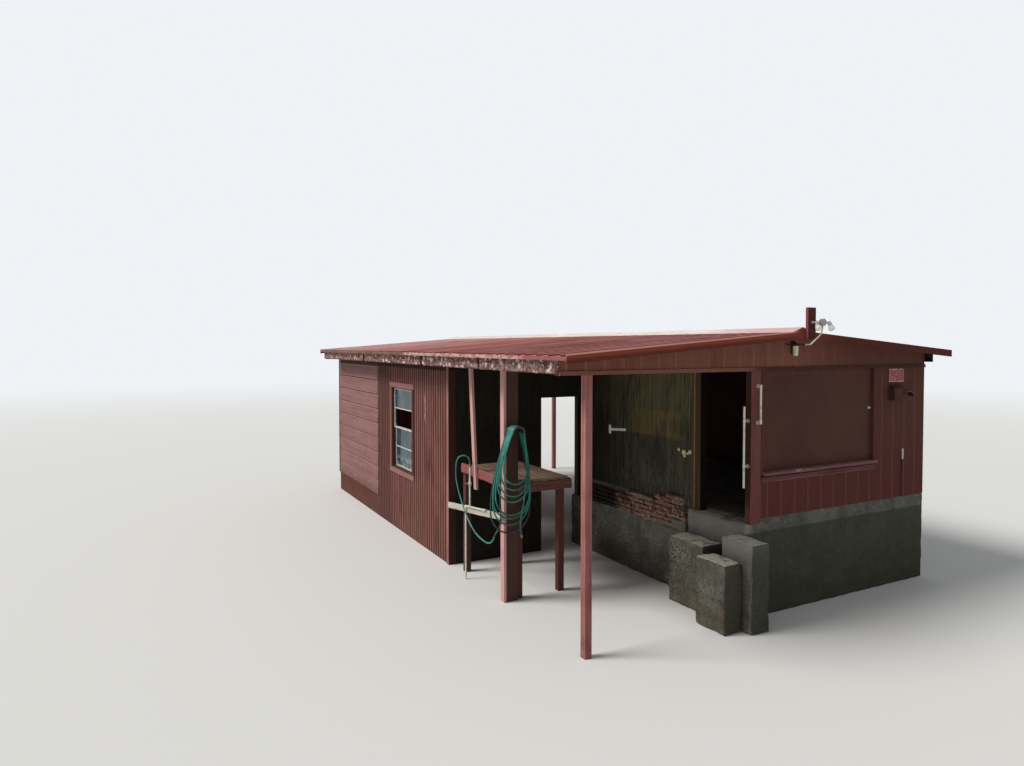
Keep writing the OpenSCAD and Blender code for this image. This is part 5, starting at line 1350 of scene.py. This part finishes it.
lamps.piece("floodlights", lamp_white, "lamp_white", ["lamps"])


# A small board of worn red enamel hangs bare on the gable, over a wooden box with a sloping lid
# and an arched hood of sheet metal beside it.
left_x = plan_box("sign_and_box")[0].x
enamel = Finish("worn_enamel", (140, 38, 44), 0.5).layers(
    ((172, 112, 108), 0.6, cloud((0.06, 0.06, 0.05), 0.54, 0.60)),
    ((118, 34, 40), 0.6, cloud(0.2, 0.42, 0.6, 4))).relief(0.0004, (0.06, 0.06, 0.05), 0.52, 0.58)
sign_w, sign_h, sign_z, rim_w = 0.330, 0.190, 2.940, 0.012
sign, rim = Stock(), Stock()
sign.board((left_x, -0.009, sign_z), (left_x + sign_w, -0.003, sign_z + sign_h), 0.0015)
sign.piece("bare_enamel_board", enamel, "red_enamel", ["sign_and_box"])
for x0, x1, z0, z1 in ((0, sign_w, 0, rim_w), (0, sign_w, sign_h - rim_w, sign_h),
                       (0, rim_w, rim_w, sign_h - rim_w), (sign_w - rim_w, sign_w, rim_w, sign_h - rim_w)):
    rim.board((left_x + x0, -0.012, sign_z + z0), (left_x + x1, 0, sign_z + z1), 0.0015)
rim_paint = Finish("rim_paint", (196, 172, 166), 0.5).layers(
    ((142, 66, 66), 0.85, cloud(0.03, 0.46, 0.56))).relief(0.0004, 0.01)
rim.piece("enamel_rim", rim_paint, "red_enamel")

box_red = timber_paint("box_red", (72, 40, 40), (100, 64, 62), (48, 26, 26), (0.05, 0.05, 0.2), 0.6, 0.0)
post_box = Stock()
box_w, box_d, box_h, box_z = 0.220, 0.100, 0.220, 2.680
box_top, inset = box_z + box_h, 0.006
body_front = 0.008 - box_d
lid = ((0, box_top), (-box_d, box_top - 0.040), (-box_d, box_top - 0.052), (0, box_top - 0.014))
wedge = ((0, box_top - 0.014), (body_front, box_top - 0.050), (0, box_top - 0.052))
post_box.board((left_x + inset, body_front, box_z), (left_x + box_w - inset, 0, box_top - 0.052), 0.003)
for section, margin in ((lid, 0), (wedge, inset)):
    post_box.sleeve([[(x, y, z) for y, z in section] for x in (left_x + margin, left_x + box_w - margin)])
for dx in (0.04, 0.18):
    post_box.turned((left_x + dx, -0.006, box_top - 0.006), (1, 0, 0), [(0.005, 0), (0.005, 0.03)], 12)
post_box.piece("lidded_box", box_red, "red_enamel")

hood = Stock()
hood_w, hood_h, hood_t, hood_lip = 0.230, 0.080, 0.003, 0.012
hood_r = (hood_h ** 2 + hood_w ** 2 / 4) / (2 * hood_h)
hood_half = math.asin(hood_w / 2 / hood_r)
hood_centre = Vector((left_x + box_w + 0.008 + hood_w / 2, 0, box_z + 0.050 + hood_h - hood_r))
arc = [hood_half - i / 24 * 2 * hood_half for i in range(25)]
for thick, y1 in ((hood_t, 0.0), (hood_lip, 0.004 - box_d)):
    band = [(hood_r, k) for k in arc] + [(hood_r - thick, k) for k in arc[::-1]]
    hood.sleeve([[hood_centre + Vector((r * math.sin(k), y, r * math.cos(k))) for r, k in band]
                 for y in (y1, -box_d)])
hood_tin = Finish("hood_tin", (118, 96, 90), 0.6, 0.1).layers(
    ((84, 58, 54), 0.6, cloud(0.04)),
    # Painted shade on the underside and inside of the hood.
    ((22, 15, 14), 0.95, facing("Z", 0.1, -0.2))).relief(0.0004, 0.006)
hood.piece("arched_hood", hood_tin, "red_enamel")
